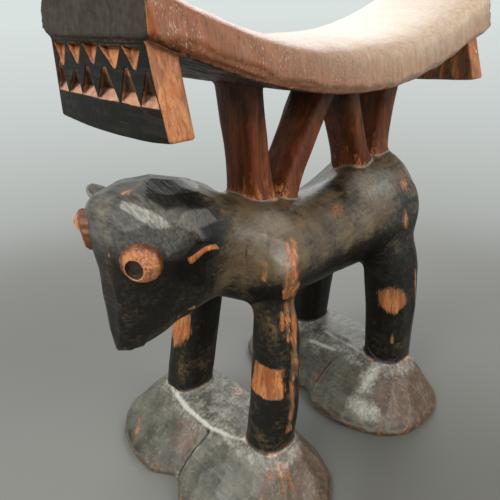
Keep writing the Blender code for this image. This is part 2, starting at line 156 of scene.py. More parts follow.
class BodySettings(bpy.types.PropertyGroup):
    """Sizes of the animal's torso and head."""

    back: length("Back height", "Height of the back at the waist", 99.0)
    neck_rise: length("Neck rise", "Rise of the back at the neck", 12.0)
    withers_rise: length("Withers rise", "Rise of the back above the forelegs", 6.0)
    rump_rise: length("Rump rise", "Rise of the back above the hind legs", 9.8)
    belly: length("Belly height", "Height of the belly at the waist", 62.6)
    chest_rise: length("Chest rise", "Rise of the belly between the forelegs", 4.4)
    throat_rise: length("Throat rise", "Rise of the belly at the neck", 11.5)
    neck_half_width: length("Neck half width", "Half the width of the neck", 17.0)
    waist_half_width: length("Waist half width", "Half the width of the waist", 21.5)
    rump_half_width: length("Rump half width", "Half the width of the rump", 24.5)
    hip_fillet: length("Hip fillet", "Radius where the legs run into the torso", 5.0)
    neck_fillet: length("Neck fillet", "Radius where the jaw runs into the neck", 5.0)
    nape_fillet: length("Nape fillet", "Radius where the crown runs into the neck", 11.0)
    step: length("Grid step", "Spacing of the points that the torso is worked on", 0.52)
    head_step: length("Head grid step", "Spacing of the points that the head is worked on", 0.36)


class FaceSettings(bpy.types.PropertyGroup):
    """Sizes of the eyes and ears."""

    eye_turn: turn("Eye turn", "How far an eye looks sideways", 52.0)
    eye_root: length("Eye root radius", "Radius of an eye on the head", 5.9)
    eye_rim: length("Eye rim radius", "Radius of an eye's rim", 3.3)
    eye_edge: length("Eye edge", "How far an eye's edge stands out", 1.2)
    eye_stand: length("Eye stand", "How far an eye's rim stands out", 2.9)
    eye_tilt: share("Eye tilt", "How much lower an eye is towards the front", 0.28)
    pupil: length("Pupil radius", "Radius of the pit in an eye", 2.9)
    pupil_depth: length("Pupil depth", "Depth of the pit in an eye", 1.5)
    pupil_shift: length("Pupil shift", "How far the pit lies ahead of an eye's middle", 1.8)
    ear_reach: length("Ear reach", "How far an ear stands out from its root", 16.6)
    ear_width: length("Ear width", "Width of an ear", 8.8)
    ear_thickness: length("Ear thickness", "Thickness of an ear at its root", 2.2)
    ear_cup: length("Ear cup", "How deep an ear is hollowed", 2.0)
    ear_roll: turn("Ear roll", "How far an ear dips towards the front", 10.0)
    step: length("Grid step", "Spacing of the points that eyes and ears are worked on", 0.2)


class LegSettings(bpy.types.PropertyGroup):
    """Sizes of the four legs."""

    foot_y: length("Foot place", "How far a foot is from the middle", 23.3)
    hip_y: length("Hip place", "How far a hip is from the middle", 22.5)
    shoulder_y: length("Shoulder place", "How far a leg's root is from the middle", 14.0)
    fore_foot_x: length("Fore foot", "Place of the forefeet along the body", -35.6)
    fore_hip_x: length("Fore hip", "Place of the shoulders along the body", -27.5)
    hind_foot_x: length("Hind foot", "Place of the hind feet along the body", 36.0)
    hind_hip_x: length("Hind hip", "Place of the hips along the body", 38.0)
    fore_foot_radius: length("Fore foot radius", "Radius of a foreleg at its foot", 7.8)
    fore_hip_radius: length("Fore hip radius", "Radius of a foreleg at its hip", 5.9)
    hind_foot_radius: length("Hind foot radius", "Radius of a hind leg at its foot", 8.8)
    hind_hip_radius: length("Hind hip radius", "Radius of a hind leg at its hip", 10.4)
    knee_swell: length("Knee swell", "Extra radius at the knee", 0.5)
    root_taper: share("Root taper", "How much a leg thins inside the torso", 0.45)
    step: length("Grid step", "Spacing of the points that a leg is worked on", 0.36)


class BaseSettings(bpy.types.PropertyGroup):
    """Sizes of the two-lobed mounds under the legs."""

    lip: length("Lip", "Height of the rolled lower edge", 2.6)
    top_margin: length("Top margin", "Level ground left round the feet", 2.2)
    top_reach: length("Level reach", "How far ahead of the legs the top stays level", 6.0)
    top_fall: share("Top fall", "Slope of the top ahead of that", 0.27)
    forward: length("Forward", "How far a mound's foot lies ahead of the legs", 6.0)
    waist: share("Waist", "How far the mound is pinched between its lobes", 0.27)
    waist_reach: length("Waist reach", "Width of the pinch between the lobes", 8.0)
    spread: length("Spread", "How far a mound's floor edge spreads past its solid", 1.8)
    inset: share("Floor inset", "How far the floor edge is rolled under", 0.05)
    step: length("Grid step", "Spacing of the points that a mound is worked on", 0.5)


class FinishSettings(bpy.types.PropertyGroup):
    """Colours of the wood."""

    brown: colour("Brown wood", "Oiled brown of the pillow", (0.270, 0.078, 0.026))
    brown_light: colour("Light brown", "Pale flecks of the pillow", (0.42, 0.185, 0.085))
    strut: colour("Strut brown", "Brown of the struts", (0.080, 0.020, 0.0062))
    char: colour("Char", "Burnt black of the animal", (0.0100, 0.0092, 0.0070))
    smoke: colour("Smoked brown", "Brown that shows through the burnt black", (0.085, 0.042, 0.018))
    umber: colour("Umber", "Lighter brown of the torso", (0.165, 0.112, 0.056))
    film: colour("Grey film", "Worn grey of the burnt wood's flats", (0.12, 0.112, 0.088))
    worn: colour("Worn brown", "Brown on the ridges of the burnt wood", (0.26, 0.150, 0.080))
    bare: colour("Bare wood", "Orange wood where the knife cut last", (0.50, 0.150, 0.040))
    bare_pale: colour("Pale bare wood", "Pale fibres of the bare wood", (0.66, 0.27, 0.095))
    # Colour of the painted sheen on the pillow's rear top
    haze: colour("Haze", "Paler wood of the pillow's rear top", (0.74, 0.61, 0.44))
    grime: colour("Grime", "Dark smudges of the mounds", (0.045, 0.042, 0.030))
    mound: colour("Mound grey", "Dusty grey of the mounds", (0.150, 0.142, 0.105))
    # Pale dust, also the colour of the painted highlights
    dust: colour("Dust", "Pale dust on crests", (0.72, 0.69, 0.60))


class StageSettings(bpy.types.PropertyGroup):
    """Floor and light."""

    floor: colour("Near floor", "Colour of the floor by the headrest", (0.215, 0.215, 0.198))
    # Painted shade on the floor near the camera's right
    floor_shaded_corner: colour("Corner floor", "Colour of the floor near the camera's right", (0.120, 0.120, 0.102))
    floor_mid: colour("Middle floor", "What the camera sees of the floor behind", (0.335, 0.34, 0.32))
    floor_far: colour("Far floor", "What the camera sees of the floor far off", (0.70, 0.76, 0.745))
    key: FloatProperty(name="Key light", description="Power of the right-hand light in watts", default=2.6)
    top: FloatProperty(name="Top light", description="Power of the light above the head in watts", default=3.2)
    front: FloatProperty(name="Front light", description="Power of the light in front in watts", default=0.6)
    rear: FloatProperty(name="Rear light", description="Power of the light behind in watts", default=2.1)
    fill: FloatProperty(name="Fill", description="Strength of the light from all round", default=0.24)


SETTINGS = {
    "headrest_pillow": PillowSettings,
    "headrest_lug": LugSettings,
    "headrest_strut": StrutSettings,
    "headrest_body": BodySettings,
    "headrest_face": FaceSettings,
    "headrest_leg": LegSettings,
    "headrest_base": BaseSettings,
    "headrest_finish": FinishSettings,
    "headrest_stage": StageSettings,
}


class Sizes:
    """The settings of one group as plain numbers, with lengths in millimetres."""

    def __init__(self, group):
        for prop in group.bl_rna.properties:
            if prop.identifier in ("rna_type", "name"):
                continue
            value = getattr(group, prop.identifier)
            if prop.type == "FLOAT" and prop.unit == "LENGTH":
                value = value / MM
            setattr(self, prop.identifier, value)


# Fields of distances


class Block:
    """A box of evenly spaced points, in millimetres."""

    def __init__(self, low, high, step):
        self.step = step
        self.low = np.asarray(low, float)
        self.size = np.ceil((np.asarray(high, float) - self.low) / step).astype(int) + 1
        axes = [(self.low[i] + step * np.arange(self.size[i])).astype(np.float32) for i in range(3)]
        self.x = axes[0][:, None, None]
        self.y = axes[1][None, :, None]
        self.z = axes[2][None, None, :]
        self.high = self.low + step * (self.size - 1)

    def full(self, level):
        """The values as an array with one value for each point."""
        return np.array(np.broadcast_to(level, self.size), dtype=np.float32)

    def distance(self, level):
        """Distances from a level that is 1 on the surface and grows outwards."""
        level = self.full(level)
        slope = np.gradient(level, self.step)
        steep = np.sqrt(slope[0] ** 2 + slope[1] ** 2 + slope[2] ** 2)
        return np.clip((level - 1.0) / np.maximum(steep, 1e-3), -FAR, FAR)

    def window(self, spot, reach):
        """Slices of the points within reach of a spot, or None."""
        first = np.ceil((spot - reach - self.low) / self.step).astype(int)
        last = np.floor((spot + reach - self.low) / self.step).astype(int) + 1
        first = np.maximum(first, 0)
        last = np.minimum(last, self.size)
        if np.any(first >= last):
            return None
        return tuple(slice(a, b) for a, b in zip(first, last))

    def local(self, window, spot):
        """Offsets from a spot to the points of a window, along X, Y and Z."""
        return (
            self.x[window[0]] - np.float32(spot[0]),
            self.y[:, window[1]] - np.float32(spot[1]),
            self.z[:, :, window[2]] - np.float32(spot[2]),
        )

    def near(self, low, high, margin):
        """Whether a box comes within a margin of this block."""
        return bool(np.all(low - margin < self.high) and np.all(high + margin > self.low))


def dot(offsets, direction):
    """Lengths of offsets along a direction."""
    dx, dy, dz = offsets
    a, b, c = (np.float32(v) for v in direction)
    return dx * a + dy * b + dz * c


def rounded(u, v, squareness):
    """Level of a rounded section: 1 on its edge."""
    return (np.abs(u) ** squareness + np.abs(v) ** squareness) ** (1.0 / squareness)


def join(a, b, fillet):
    """Two forms joined with a fillet."""
    reach = np.maximum(fillet - np.abs(a - b), 0.0) / fillet
    return np.minimum(a, b) - reach * reach * (fillet * 0.25)


def ease(t):
    """A share from 0 to 1 with level ends."""
    t = np.clip(t, 0.0, 1.0)
    return t * t * (3.0 - 2.0 * t)


def through(stations, x):
    """Smooth values at x through stations of (x, values), with level ends."""
    places = np.array([s[0] for s in stations], float)
    values = np.array([s[1] for s in stations], float)
    i = np.clip(np.searchsorted(places, x) - 1, 0, len(places) - 2)
    t = ease((x - places[i]) / (places[i + 1] - places[i]))
    return [(values[i, k] + (values[i + 1, k] - values[i, k]) * t).astype(np.float32) for k in range(3)]


def blur(field, passes):
    """The field smoothed over its neighbours."""
    for _ in range(passes):
        for axis in range(3):
            padded = np.pad(field, [(1, 1) if i == axis else (0, 0) for i in range(3)], mode="edge")
            count = field.shape[axis]
            first = np.take(padded, range(0, count), axis)
            last = np.take(padded, range(2, count + 2), axis)
            field = 0.25 * first + 0.5 * field + 0.25 * last
    return field


def bending(field, step):
    """Sum of the bends of a field in all three directions: high on ridges, low in nooks."""
    total = np.zeros_like(field)
    for axis in range(3):
        padded = np.pad(field, [(1, 1) if i == axis else (0, 0) for i in range(3)], mode="edge")
        count = field.shape[axis]
        total += np.take(padded, range(2, count + 2), axis) + np.take(padded, range(0, count), axis)
        total -= 2.0 * field
    return total / (step * step)


def sample(field, spots):
    """Values of a field at places given in grid steps."""
    base = np.clip(np.floor(spots).astype(int), 0, np.array(field.shape) - 2)
    part = (spots - base).astype(np.float32)
    total = np.zeros(len(spots), np.float32)
    for corner in range(8):
        bits = np.array([(corner >> k) & 1 for k in range(3)])
        weight = np.prod(np.where(bits, part, 1.0 - part), axis=1)
        at = base + bits
        total += weight * field[at[:, 0], at[:, 1], at[:, 2]]
    return total


def waves(block, pitch, seed):
    """A soft unevenness from -1 to 1 with about the given pitch."""
    rng = np.random.default_rng(seed)
    total = np.zeros(block.size, np.float32)
    for _ in range(5):
        way = rng.normal(size=3)
        way = way / np.linalg.norm(way) * (2.0 * math.pi / (pitch * rng.uniform(0.7, 1.5)))
        offsets = (block.x, block.y, block.z)
        total += np.sin(dot(offsets, way) + np.float32(rng.uniform(0, 6.28)))
    return total / 3.0


# Knife work

NOTCH_WALL = 1.1
NOTCH_HEIGHT = 6.0
DEEPEST_STROKES = 1.3

class Stroke:
    """One hollow or flat left by a knife."""

    def __init__(self, spot, normal, along, depth, along_radius, across_radius, cap=1.3):
        self.spot = np.asarray(spot, float)
        self.normal = np.asarray(normal, float) / np.linalg.norm(normal)
        along = np.asarray(along, float)
        along = along - self.normal * (along @ self.normal)
        self.along = along / np.linalg.norm(along)
        self.across = np.cross(self.normal, self.along)
        self.depth = depth
        self.along_radius = along_radius
        self.across_radius = across_radius
        self.cap = cap
        self.reach = 1.5 * math.sqrt(2.0 * max(along_radius, across_radius) * depth) + 1.0


def carve(block, field, strokes):
    """Takes the wood of each stroke away, up to a little above the surface there."""
    if not strokes:
        return
    spots = np.array([s.spot for s in strokes])
    places = (spots - block.low) / block.step
    inside = np.all((places >= 0.0) & (places <= block.size - 1), axis=1)
    gaps = np.where(inside, np.clip(sample(field, places), -5.0, 5.0), 0.0)
    before = field.copy()
    for s, gap in zip(strokes, gaps):
        window = block.window(s.spot, s.reach)
        if window is None:
            continue
        offsets = block.local(window, s.spot)
        high = dot(offsets, s.normal) + np.float32(gap)
        rise = high + np.float32(s.depth)
        rise = rise - dot(offsets, s.along) ** 2 / np.float32(2.0 * s.along_radius)
        rise = rise - dot(offsets, s.across) ** 2 / np.float32(2.0 * s.across_radius)
        cut = np.minimum(np.minimum(rise, np.float32(s.cap) - high), field[window] + np.float32(1.5 * s.depth))
        field[window] = np.maximum(field[window], cut)
    np.minimum(field, before + np.float32(DEEPEST_STROKES), out=field)


def notch(block, field, start, end, normal, depth, widths, taper):
    """A one-sided notch: a steep wall along a line, and a floor that climbs away from it."""
    start, end = np.asarray(start, float), np.asarray(end, float)
    reach = np.linalg.norm(end - start)
    along = (end - start) / reach
    normal = np.asarray(normal, float)
    normal = normal - along * (normal @ along)
    normal = normal / np.linalg.norm(normal)
    window = block.window((start + end) / 2.0, reach / 2.0 + max(widths) + NOTCH_HEIGHT)
    if window is None:
        return
    offsets = block.local(window, start)
    run = dot(offsets, along) / np.float32(reach)
    ends = np.clip(np.minimum(run, 1.0 - run) / np.float32(taper), 0.0, 1.0)
    off = dot(offsets, np.cross(normal, along))
    wide = widths[0] + (widths[1] - widths[0]) * np.clip(run, 0.0, 1.0)
    sunk = np.clip(np.minimum(1.0 + off / NOTCH_WALL, 1.0 - off / wide), 0.0, 1.0)
    fade = np.clip((NOTCH_HEIGHT - np.abs(dot(offsets, normal))) / 2.0, 0.0, 1.0)
    field[window] += np.float32(depth) * sunk * ends * fade


def surface(block, field):
    """Points on the surface of a field in millimetres, and the normals there."""
    grid = openvdb.FloatGrid(1.0)
    grid.copyFromArray(field.astype(np.float32))
    spots, _ = grid.convertToQuads(isovalue=0.0)
    slope = [sample(s, spots) for s in np.gradient(field, block.step)]
    normals = np.stack(slope, axis=1)
    normals /= np.maximum(np.linalg.norm(normals, axis=1, keepdims=True), 1e-6)
    return spots * block.step + block.low, normals


def scatter(rng, spots, spacing, limit):
    """Picks spots that keep a spacing from each other."""
    order = rng.permutation(len(spots))[: limit * 12]
    kept = []
    for i in order:
        if kept and np.min(np.sum((spots[kept] - spots[i]) ** 2, axis=1)) < spacing * spacing:
            continue
        kept.append(i)
        if len(kept) == limit:
            break
    return kept


# Node trees


class Nodes:
    """Short ways to add nodes to a tree."""

    def __init__(self, tree):
        self.tree = tree

    def add(self, kind, feeds=None, **settings):
        """A new node with its settings and fed inputs."""
        node = self.tree.nodes.new(kind)
        for key, value in settings.items():
            setattr(node, key, value)
        for key, value in (feeds or {}).items():
            self.feed(node.inputs[key], value)
        return node

    def feed(self, socket, value):
        """Links an output to a socket, or sets the socket's own value."""
        if isinstance(value, bpy.types.NodeSocket):
            self.tree.links.new(value, socket)
        elif socket.type == "RGBA" and len(value) == 3:
            socket.default_value = (*value, 1.0)
        else:
            socket.default_value = value

    def math(self, operation, *values, clamp=False):
        """The result of a sum."""
        node = self.add("ShaderNodeMath", operation=operation, use_clamp=clamp)
        for socket, value in zip(node.inputs, values):
            self.feed(socket, value)
        return node.outputs[0]

    def total(self, *values):
        """The sum of several values."""
        return functools.reduce(lambda a, b: self.math("ADD", a, b), values)

    def product(self, *values):
        """The product of several values."""
        return functools.reduce(lambda a, b: self.math("MULTIPLY", a, b), values)

    def span(self, value, low, high, out_low=0.0, out_high=1.0):
        """A value eased from one range to another."""
        feeds = {"Value": value, "From Min": low, "From Max": high, "To Min": out_low, "To Max": out_high}
        return self.add("ShaderNodeMapRange", feeds, interpolation_type="SMOOTHSTEP").outputs["Result"]

    def blend(self, share_of, first, second, kind="MIX"):
        """Two colours mixed by a share."""
        node = self.add("ShaderNodeMix", data_type="RGBA", blend_type=kind)
        self.feed(node.inputs[0], share_of)
        self.feed(node.inputs[6], first)
        self.feed(node.inputs[7], second)
        return node.outputs[2]

    def noise(self, where, scale, detail=3.0, roughness=0.55):
        """A cloudy value from 0 to 1."""
        feeds = {"Vector": where, "Scale": scale, "Detail": detail, "Roughness": roughness}
        return self.add("ShaderNodeTexNoise", feeds).outputs["Fac"]

    def stretch(self, where, scale, rotation=(0.0, 0.0, 0.0)):
        """Coordinates scaled and turned."""
        feeds = {"Vector": where, "Scale": scale, "Rotation": rotation}
        return self.add("ShaderNodeMapping", feeds).outputs["Vector"]

    def mask(self, name):
        """An attribute of the mesh."""
        return self.add("ShaderNodeAttribute", attribute_name=name).outputs["Fac"]

    def named(self, name, kind="FLOAT"):
        """An attribute inside a geometry tree."""
        node = self.add("GeometryNodeInputNamedAttribute", {"Name": name}, data_type=kind)
        return node.outputs["Attribute"]


def new_tree(name, kind, inputs, outputs):
    """A node tree with named inputs and outputs, its helper and its two end nodes."""
    tree = bpy.data.node_groups.new(name, kind)
    for label, socket, value in inputs:
        made = tree.interface.new_socket(label, in_out="INPUT", socket_type=socket)
        if value is not None:
            made.default_value = value
    for label, socket in outputs:
        tree.interface.new_socket(label, in_out="OUTPUT", socket_type=socket)
    nodes = Nodes(tree)
    return tree, nodes, nodes.add("NodeGroupInput").outputs, nodes.add("NodeGroupOutput").inputs


def chip_row_tree():
    """Wedges with an upright stop and a floor that climbs to a point, one on each given point."""
    number_kind = "NodeSocketFloat"
    inputs = [
        ("Geometry", "NodeSocketGeometry", None),
        ("Depth", number_kind, 2.5),
        ("Outside", number_kind, 1.5),
        ("Tip", number_kind, 0.06),
        ("Facing", number_kind, 1.0),
        ("Unevenness", number_kind, 0.1),
        ("Seed", "NodeSocketInt", 1),
        ("Material", "NodeSocketMaterial", None),
    ]
    tree, n, given, result = new_tree(
        "Chip row", "GeometryNodeTree", inputs, [("Geometry", "NodeSocketGeometry")]
    )
    chance = n.add("FunctionNodeRandomValue", {"Seed": given["Seed"]}, data_type="FLOAT").outputs[1]
    uneven = n.total(1.0, n.product(given["Unevenness"], n.math("SUBTRACT", n.product(chance, 2.0), 1.0)))
    place = n.add("GeometryNodeInputPosition").outputs[0]
    points = n.add(
        "GeometryNodeStoreNamedAttribute",
        {"Geometry": given["Geometry"], "Name": "uneven", "Value": uneven},
        data_type="FLOAT",
        domain="POINT",
    )
    points = n.add(
        "GeometryNodeStoreNamedAttribute",
        {"Geometry": points.outputs[0], "Name": "spot", "Value": place},
        data_type="FLOAT_VECTOR",
        domain="POINT",
    )
    cube = n.add("GeometryNodeMeshCube")
    corner = n.add("GeometryNodeInputPosition").outputs[0]
    cube = n.add(
        "GeometryNodeStoreNamedAttribute",
        {"Geometry": cube.outputs["Mesh"], "Name": "corner", "Value": corner},
        data_type="FLOAT_VECTOR",
        domain="POINT",
    )
    copies = n.add(
        "GeometryNodeInstanceOnPoints", {"Points": points.outputs[0], "Instance": cube.outputs[0]}
    )
    real = n.add("GeometryNodeRealizeInstances", {"Geometry": copies.outputs[0]})
    corner = n.add("ShaderNodeSeparateXYZ", {"Vector": n.named("corner", "FLOAT_VECTOR")}).outputs
    spot = n.add("ShaderNodeSeparateXYZ", {"Vector": n.named("spot", "FLOAT_VECTOR")}).outputs
    run = n.total(corner["Y"], 0.5)
    inner = n.total(corner["Z"], 0.5)
    left = n.math("SUBTRACT", 1.0, run)
    narrow = n.math("MAXIMUM", left, given["Tip"])
    depth = n.product(given["Depth"], n.named("uneven"), left)
    inward = n.math("SUBTRACT", n.product(inner, n.total(given["Outside"], depth)), given["Outside"])
    moved = n.add(
        "ShaderNodeCombineXYZ",
        {
            "X": n.total(spot["X"], n.product(given["Facing"], inward)),
            "Y": n.total(
                spot["Y"], n.product(corner["X"], n.named("wide"), narrow), n.product(n.named("lean"), run)
            ),
            "Z": n.total(
                spot["Z"],
                n.product(n.named("tall"), run),
                n.product(n.named("drop"), left, n.math("SUBTRACT", inner, 1.0)),
            ),
        },
    )
    shaped = n.add(
        "GeometryNodeSetPosition", {"Geometry": real.outputs[0], "Position": moved.outputs[0]}
    )
    finished = n.add(
        "GeometryNodeSetMaterial", {"Geometry": shaped.outputs[0], "Material": given["Material"]}
    )
    n.feed(result["Geometry"], finished.outputs[0])
    return tree


def pillow_tree():
    """A bar that is dished along its length, crowned on top and flat underneath."""
    labels = (
        "Front",
        "Length",
        "Half Width",
        "End Half Width",
        "Height",
        "Dip",
        "Low Point",
        "Side Height",
        "Crown",
        "Side Lean",
        "Front Drop",
    )
    inputs = [("Geometry", "NodeSocketGeometry", None)]
    inputs += [(label, "NodeSocketFloat", 1.0) for label in labels]
    inputs += [("Material", "NodeSocketMaterial", None)]
    tree, n, given, result = new_tree(
        "Pillow blank", "GeometryNodeTree", inputs, [("Geometry", "NodeSocketGeometry")]
    )
    bar = n.add(
        "GeometryNodeMeshCylinder",
        {"Vertices": 160, "Side Segments": 140, "Radius": 1.0, "Depth": 1.0},
        fill_type="NGON",
    )
    turn_at = n.add("ShaderNodeSeparateXYZ", {"Vector": n.add("GeometryNodeInputPosition").outputs[0]}).outputs
    along = n.total(given["Front"], n.product(n.total(turn_at["Z"], 0.5), given["Length"]))
    half_length = n.product(given["Length"], 0.5)
    off = n.math("DIVIDE", n.math("SUBTRACT", along, given["Low Point"]), half_length)
    bend = n.product(given["Dip"], off, off)
    out = n.product(turn_at["Z"], 2.0)
    taper = n.product(n.math("SUBTRACT", given["End Half Width"], given["Half Width"]), out, out)
    half = n.total(given["Half Width"], taper)
    upper = n.math("GREATER_THAN", turn_at["Y"], 0.0)
    level = n.math("ABSOLUTE", turn_at["Y"])
    across = n.math("ABSOLUTE", turn_at["X"])
    front = n.span(n.product(off, -1.0), 0.0, 0.6)
    crown = n.math("SUBTRACT", given["Crown"], n.product(given["Front Drop"], front))
    upper_z = n.total(given["Side Height"], n.product(crown, level))
    lower_z = n.product(given["Side Height"], n.math("SUBTRACT", 1.0, n.math("POWER", level, 0.14)))
    lower = n.math("SUBTRACT", 1.0, upper)
    rise = n.total(n.product(upper, upper_z), n.product(lower, lower_z))
    lean = n.product(
        given["Side Lean"], n.math("MINIMUM", n.math("DIVIDE", rise, given["Side Height"]), 1.0)
    )
    power = n.total(n.product(upper, 0.8), n.product(lower, 0.14))
    wide = n.product(
        n.math("SUBTRACT", half, lean), n.math("POWER", across, power), n.math("SIGN", turn_at["X"])
    )
    moved = n.add(
        "ShaderNodeCombineXYZ", {"X": along, "Y": wide, "Z": n.total(given["Height"], bend, rise)}
    )
    shaped = n.add(
        "GeometryNodeSetPosition", {"Geometry": bar.outputs["Mesh"], "Position": moved.outputs[0]}
    )
    real = n.add("GeometryNodeRealizeInstances", {"Geometry": shaped.outputs[0]})
    finished = n.add(
        "GeometryNodeSetMaterial", {"Geometry": real.outputs[0], "Material": given["Material"]}
    )
    n.feed(result["Geometry"], finished.outputs[0])
    return tree


def grown(name, build, mesh, values):
    """The points and triangles that a geometry tree makes from a mesh."""
    tree = bpy.data.node_groups.get(name) or build()
    holder = bpy.data.objects.new(name, mesh)
    bpy.context.scene.collection.objects.link(holder)
    modifier = holder.modifiers.new(name, "NODES")
    modifier.node_group = tree
    for item in tree.interface.items_tree:
        if item.in_out == "INPUT" and item.name in values:
            modifier[item.identifier] = values[item.name]
    graph = bpy.context.evaluated_depsgraph_get()
    made = bpy.data.meshes.new_from_object(holder.evaluated_get(graph))
    made.calc_loop_triangles()
    points = np.zeros(len(made.vertices) * 3, np.float32)
    made.vertices.foreach_get("co", points)
    triangles = np.zeros(len(made.loop_triangles) * 3, np.int32)
    made.loop_triangles.foreach_get("vertices", triangles)
    bpy.data.objects.remove(holder)
    bpy.data.meshes.remove(mesh)
    bpy.data.meshes.remove(made)
    return points.reshape(-1, 3), triangles.reshape(-1, 3).astype(np.uint32)


def shell(block, points, triangles, band):
    """Distances to a closed mesh, kept within a band."""
    spots = ((points - block.low) / block.step).astype(np.float32)
    grid = openvdb.FloatGrid.createLevelSetFromPolygons(
        spots,
        triangles=triangles,
        transform=openvdb.createLinearTransform(1.0),
        halfWidth=band / block.step,
    )
    field = np.zeros(block.size, np.float32)
    grid.copyToArray(field, ijk=(0, 0, 0))
    return field * np.float32(block.step)


# Forms of the headrest


LEG_SHIFTS = {
    # How far each leg stands off its plan along X and Y, and its extra radius
    "front_left_leg": (-0.4, 0.2, 0.0),
    "front_right_leg": (-1.6, 0.8, 0.7),
    "rear_left_leg": (0.3, 0.0, 0.0),
    "rear_right_leg": (0.0, 0.0, 0.0),
}
STRUT_SHIFTS = {
    # How far each strut's foot and top stand off its plan along X, and its extra thickness
    "strut_front_outer": (0.2, -0.6, -0.2),
    "strut_front_inner": (-1.7, 0.0, -0.4),
    "strut_rear_inner": (3.0, -1.0, -1.6),
    "strut_rear_outer": (-1.2, 0.9, -0.3),
}
FACE_SPOTS = {
    # Where each eye and ear grows from the head
    "left_eye": (-71.3, -11.0, 99.6),
    "right_eye": (-73.6, 13.2, 102.6),
    "left_ear": (-56.8, -17.2, 100.0),
    "right_ear": (-56.8, 19.2, 102.4),
}


def lug_half_width(size, node, y, z):
    """Half the width of a lug at a height: its near edge flares, its far edge hangs straighter."""
    low, high = BOX[node]
    bottom = low[2] + size.sag
    rise = (z - bottom) / (high[2] - bottom)
    top = np.where(y < 0.0, size.top_half_width, size.far_top_half_width)
    return high[1] + (top - high[1]) * rise


class Carving:
    """The plain forms of all members, as distances on a block of points."""

    def __init__(self, scene):
        self.pillow_size = Sizes(scene.headrest_pillow)
        self.lug_size = Sizes(scene.headrest_lug)
        self.strut_size = Sizes(scene.headrest_strut)
        self.body_size = Sizes(scene.headrest_body)
        self.face_size = Sizes(scene.headrest_face)
        self.leg_size = Sizes(scene.headrest_leg)
        self.base_size = Sizes(scene.headrest_base)
        self.base_top = BOX["front_base"][1][2]
        self.members = {}

    def away(self, block, node, margin=9.0):
        """Whether a member is too far from a block to matter there."""
        return not block.near(*BOX[node], margin)

    def none(self, block):
        """A form that isn't there."""
        return np.full(block.size, FAR, np.float32)

    def bend(self, x):
        """Rise of the pillow above its low point."""
        size = self.pillow_size
        low, high = BOX["pillow"]
        return size.dip * ((x - size.low_point) / ((high[0] - low[0]) / 2.0)) ** 2

    def pillow(self, block):
        """The blank of the pillow, read from its own block."""
        if self.away(block, "pillow"):
            return self.none(block)
        home, field = pillow_blank(bpy.context.scene.name)
        if np.array_equal(home.low, block.low) and home.step == block.step:
            return field.copy()
        spots = np.stack(np.broadcast_arrays(block.x, block.y, block.z), axis=-1).reshape(-1, 3)
        return sample(field, (spots - home.low) / home.step).reshape(block.size)

    def lug(self, block, node):
        """A flared plate that hangs under one end of the pillow."""
        if self.away(block, node):
            return self.none(block)
        low, high = BOX[node]
        x, y, z = block.x, block.y, block.z
        bottom = low[2] + self.lug_size.sag
        root = high[2]
        half = lug_half_width(self.lug_size, node, y, z)
        sag = self.lug_size.sag * (1.0 - np.minimum((y / high[1]) ** 2, 1.0))
        plate = np.maximum(low[0] - x, x - high[0])
        plate = -join(-plate, -(np.abs(y) - half), 0.9)
        plate = -join(-plate, -(bottom - sag - z), 0.9)
        return block.full(np.maximum(plate, z - root - 4.0))

    def strut_ends(self, node):
        """Centre of a strut at its base and its top, and its half width."""
        low, high = BOX[node]
        size = self.strut_size
        half = size.thickness / 2.0
        leans = {"strut_front_outer": -1, "strut_front_inner": 1, "strut_rear_inner": -1}
        if leans.get(node, 1) > 0:
            base_x, top_x = low[0] + half, high[0] - half
        else:
            base_x, top_x = high[0] - half, low[0] + half
        return base_x, low[2], top_x, high[2], high[1]

    def strut(self, block, node):
        """A squared post that leans from the back up to the pillow."""
        if self.away(block, node):
            return self.none(block)
        size = self.strut_size
        base_x, base_z, top_x, top_z, half_y = self.strut_ends(node)
        shift, top_shift, extra = STRUT_SHIFTS[node]
        base_x, top_x = base_x + shift, top_x + top_shift
        z = block.z
        t = (z - base_z) / (top_z - base_z)
        centre = base_x + (top_x - base_x) * t
        flare = size.base_flare * np.exp(-np.maximum(t, 0.0) / 0.16)
        wide = half_y * (1.0 - size.swell * (1.0 - np.clip(t, 0.0, 1.0))) + flare
        thick = (size.thickness + extra) / 2.0 + 0.6 * flare
        lean = math.hypot(1.0, (top_x - base_x) / (top_z - base_z))
        level = rounded((block.x - centre) / (thick * lean**0.5), block.y / wide, 3.4)
        field = block.distance(level)
        return np.maximum(field, np.maximum(base_z - 7.0 - z, z - top_z - 6.0))

    def torso(self, block):
        """Sections across the body, from the neck to the tail end."""
        if self.away(block, "torso", 12.0):
            return self.none(block)
        size, legs = self.body_size, self.leg_size
        low, high = BOX["torso"]
        neck_x, waist_x, rump_x = -46.0, 9.0, 46.0
        shoulder = high[1]
        back, belly = size.back, size.belly
        stations = [
            (neck_x, (back + size.neck_rise, belly + size.throat_rise, size.neck_half_width)),
            (legs.fore_hip_x, (back + size.withers_rise, belly + size.chest_rise, shoulder)),
            (waist_x, (back, belly, size.waist_half_width)),
            (rump_x, (back + size.rump_rise, belly - 2.0, size.rump_half_width)),
        ]
        x = block.x
        top, bottom, half = through(stations, x[:, 0, 0])
        top, bottom, half = (v[:, None, None] for v in (top, bottom, half))
        tail = np.clip((x - rump_x) / (high[0] - 5.0 - rump_x), 0.0, 1.0)
        round_off = np.maximum(np.sqrt(np.maximum(1.0 - tail**2.3, 0.0)), 0.05)
        middle = (top + bottom) / 2.0 - 0.05 * (top - bottom) * tail
        tall = (top - bottom) / 2.0 * round_off
        level = rounded(block.y / (half * round_off), (block.z - middle) / tall, 1.95)
        field = block.distance(level)
        # The far side of the back falls away between the struts
        fall = 0.5 * (block.y - 2.0) + 0.87 * (block.z - back + 0.6) - 3.0 * ((x - waist_x) / 22.0) ** 2
        field = -join(-field, -fall, 2.0)
        return np.maximum(field, np.maximum(x - high[0], low[0] - 6.0 - x))

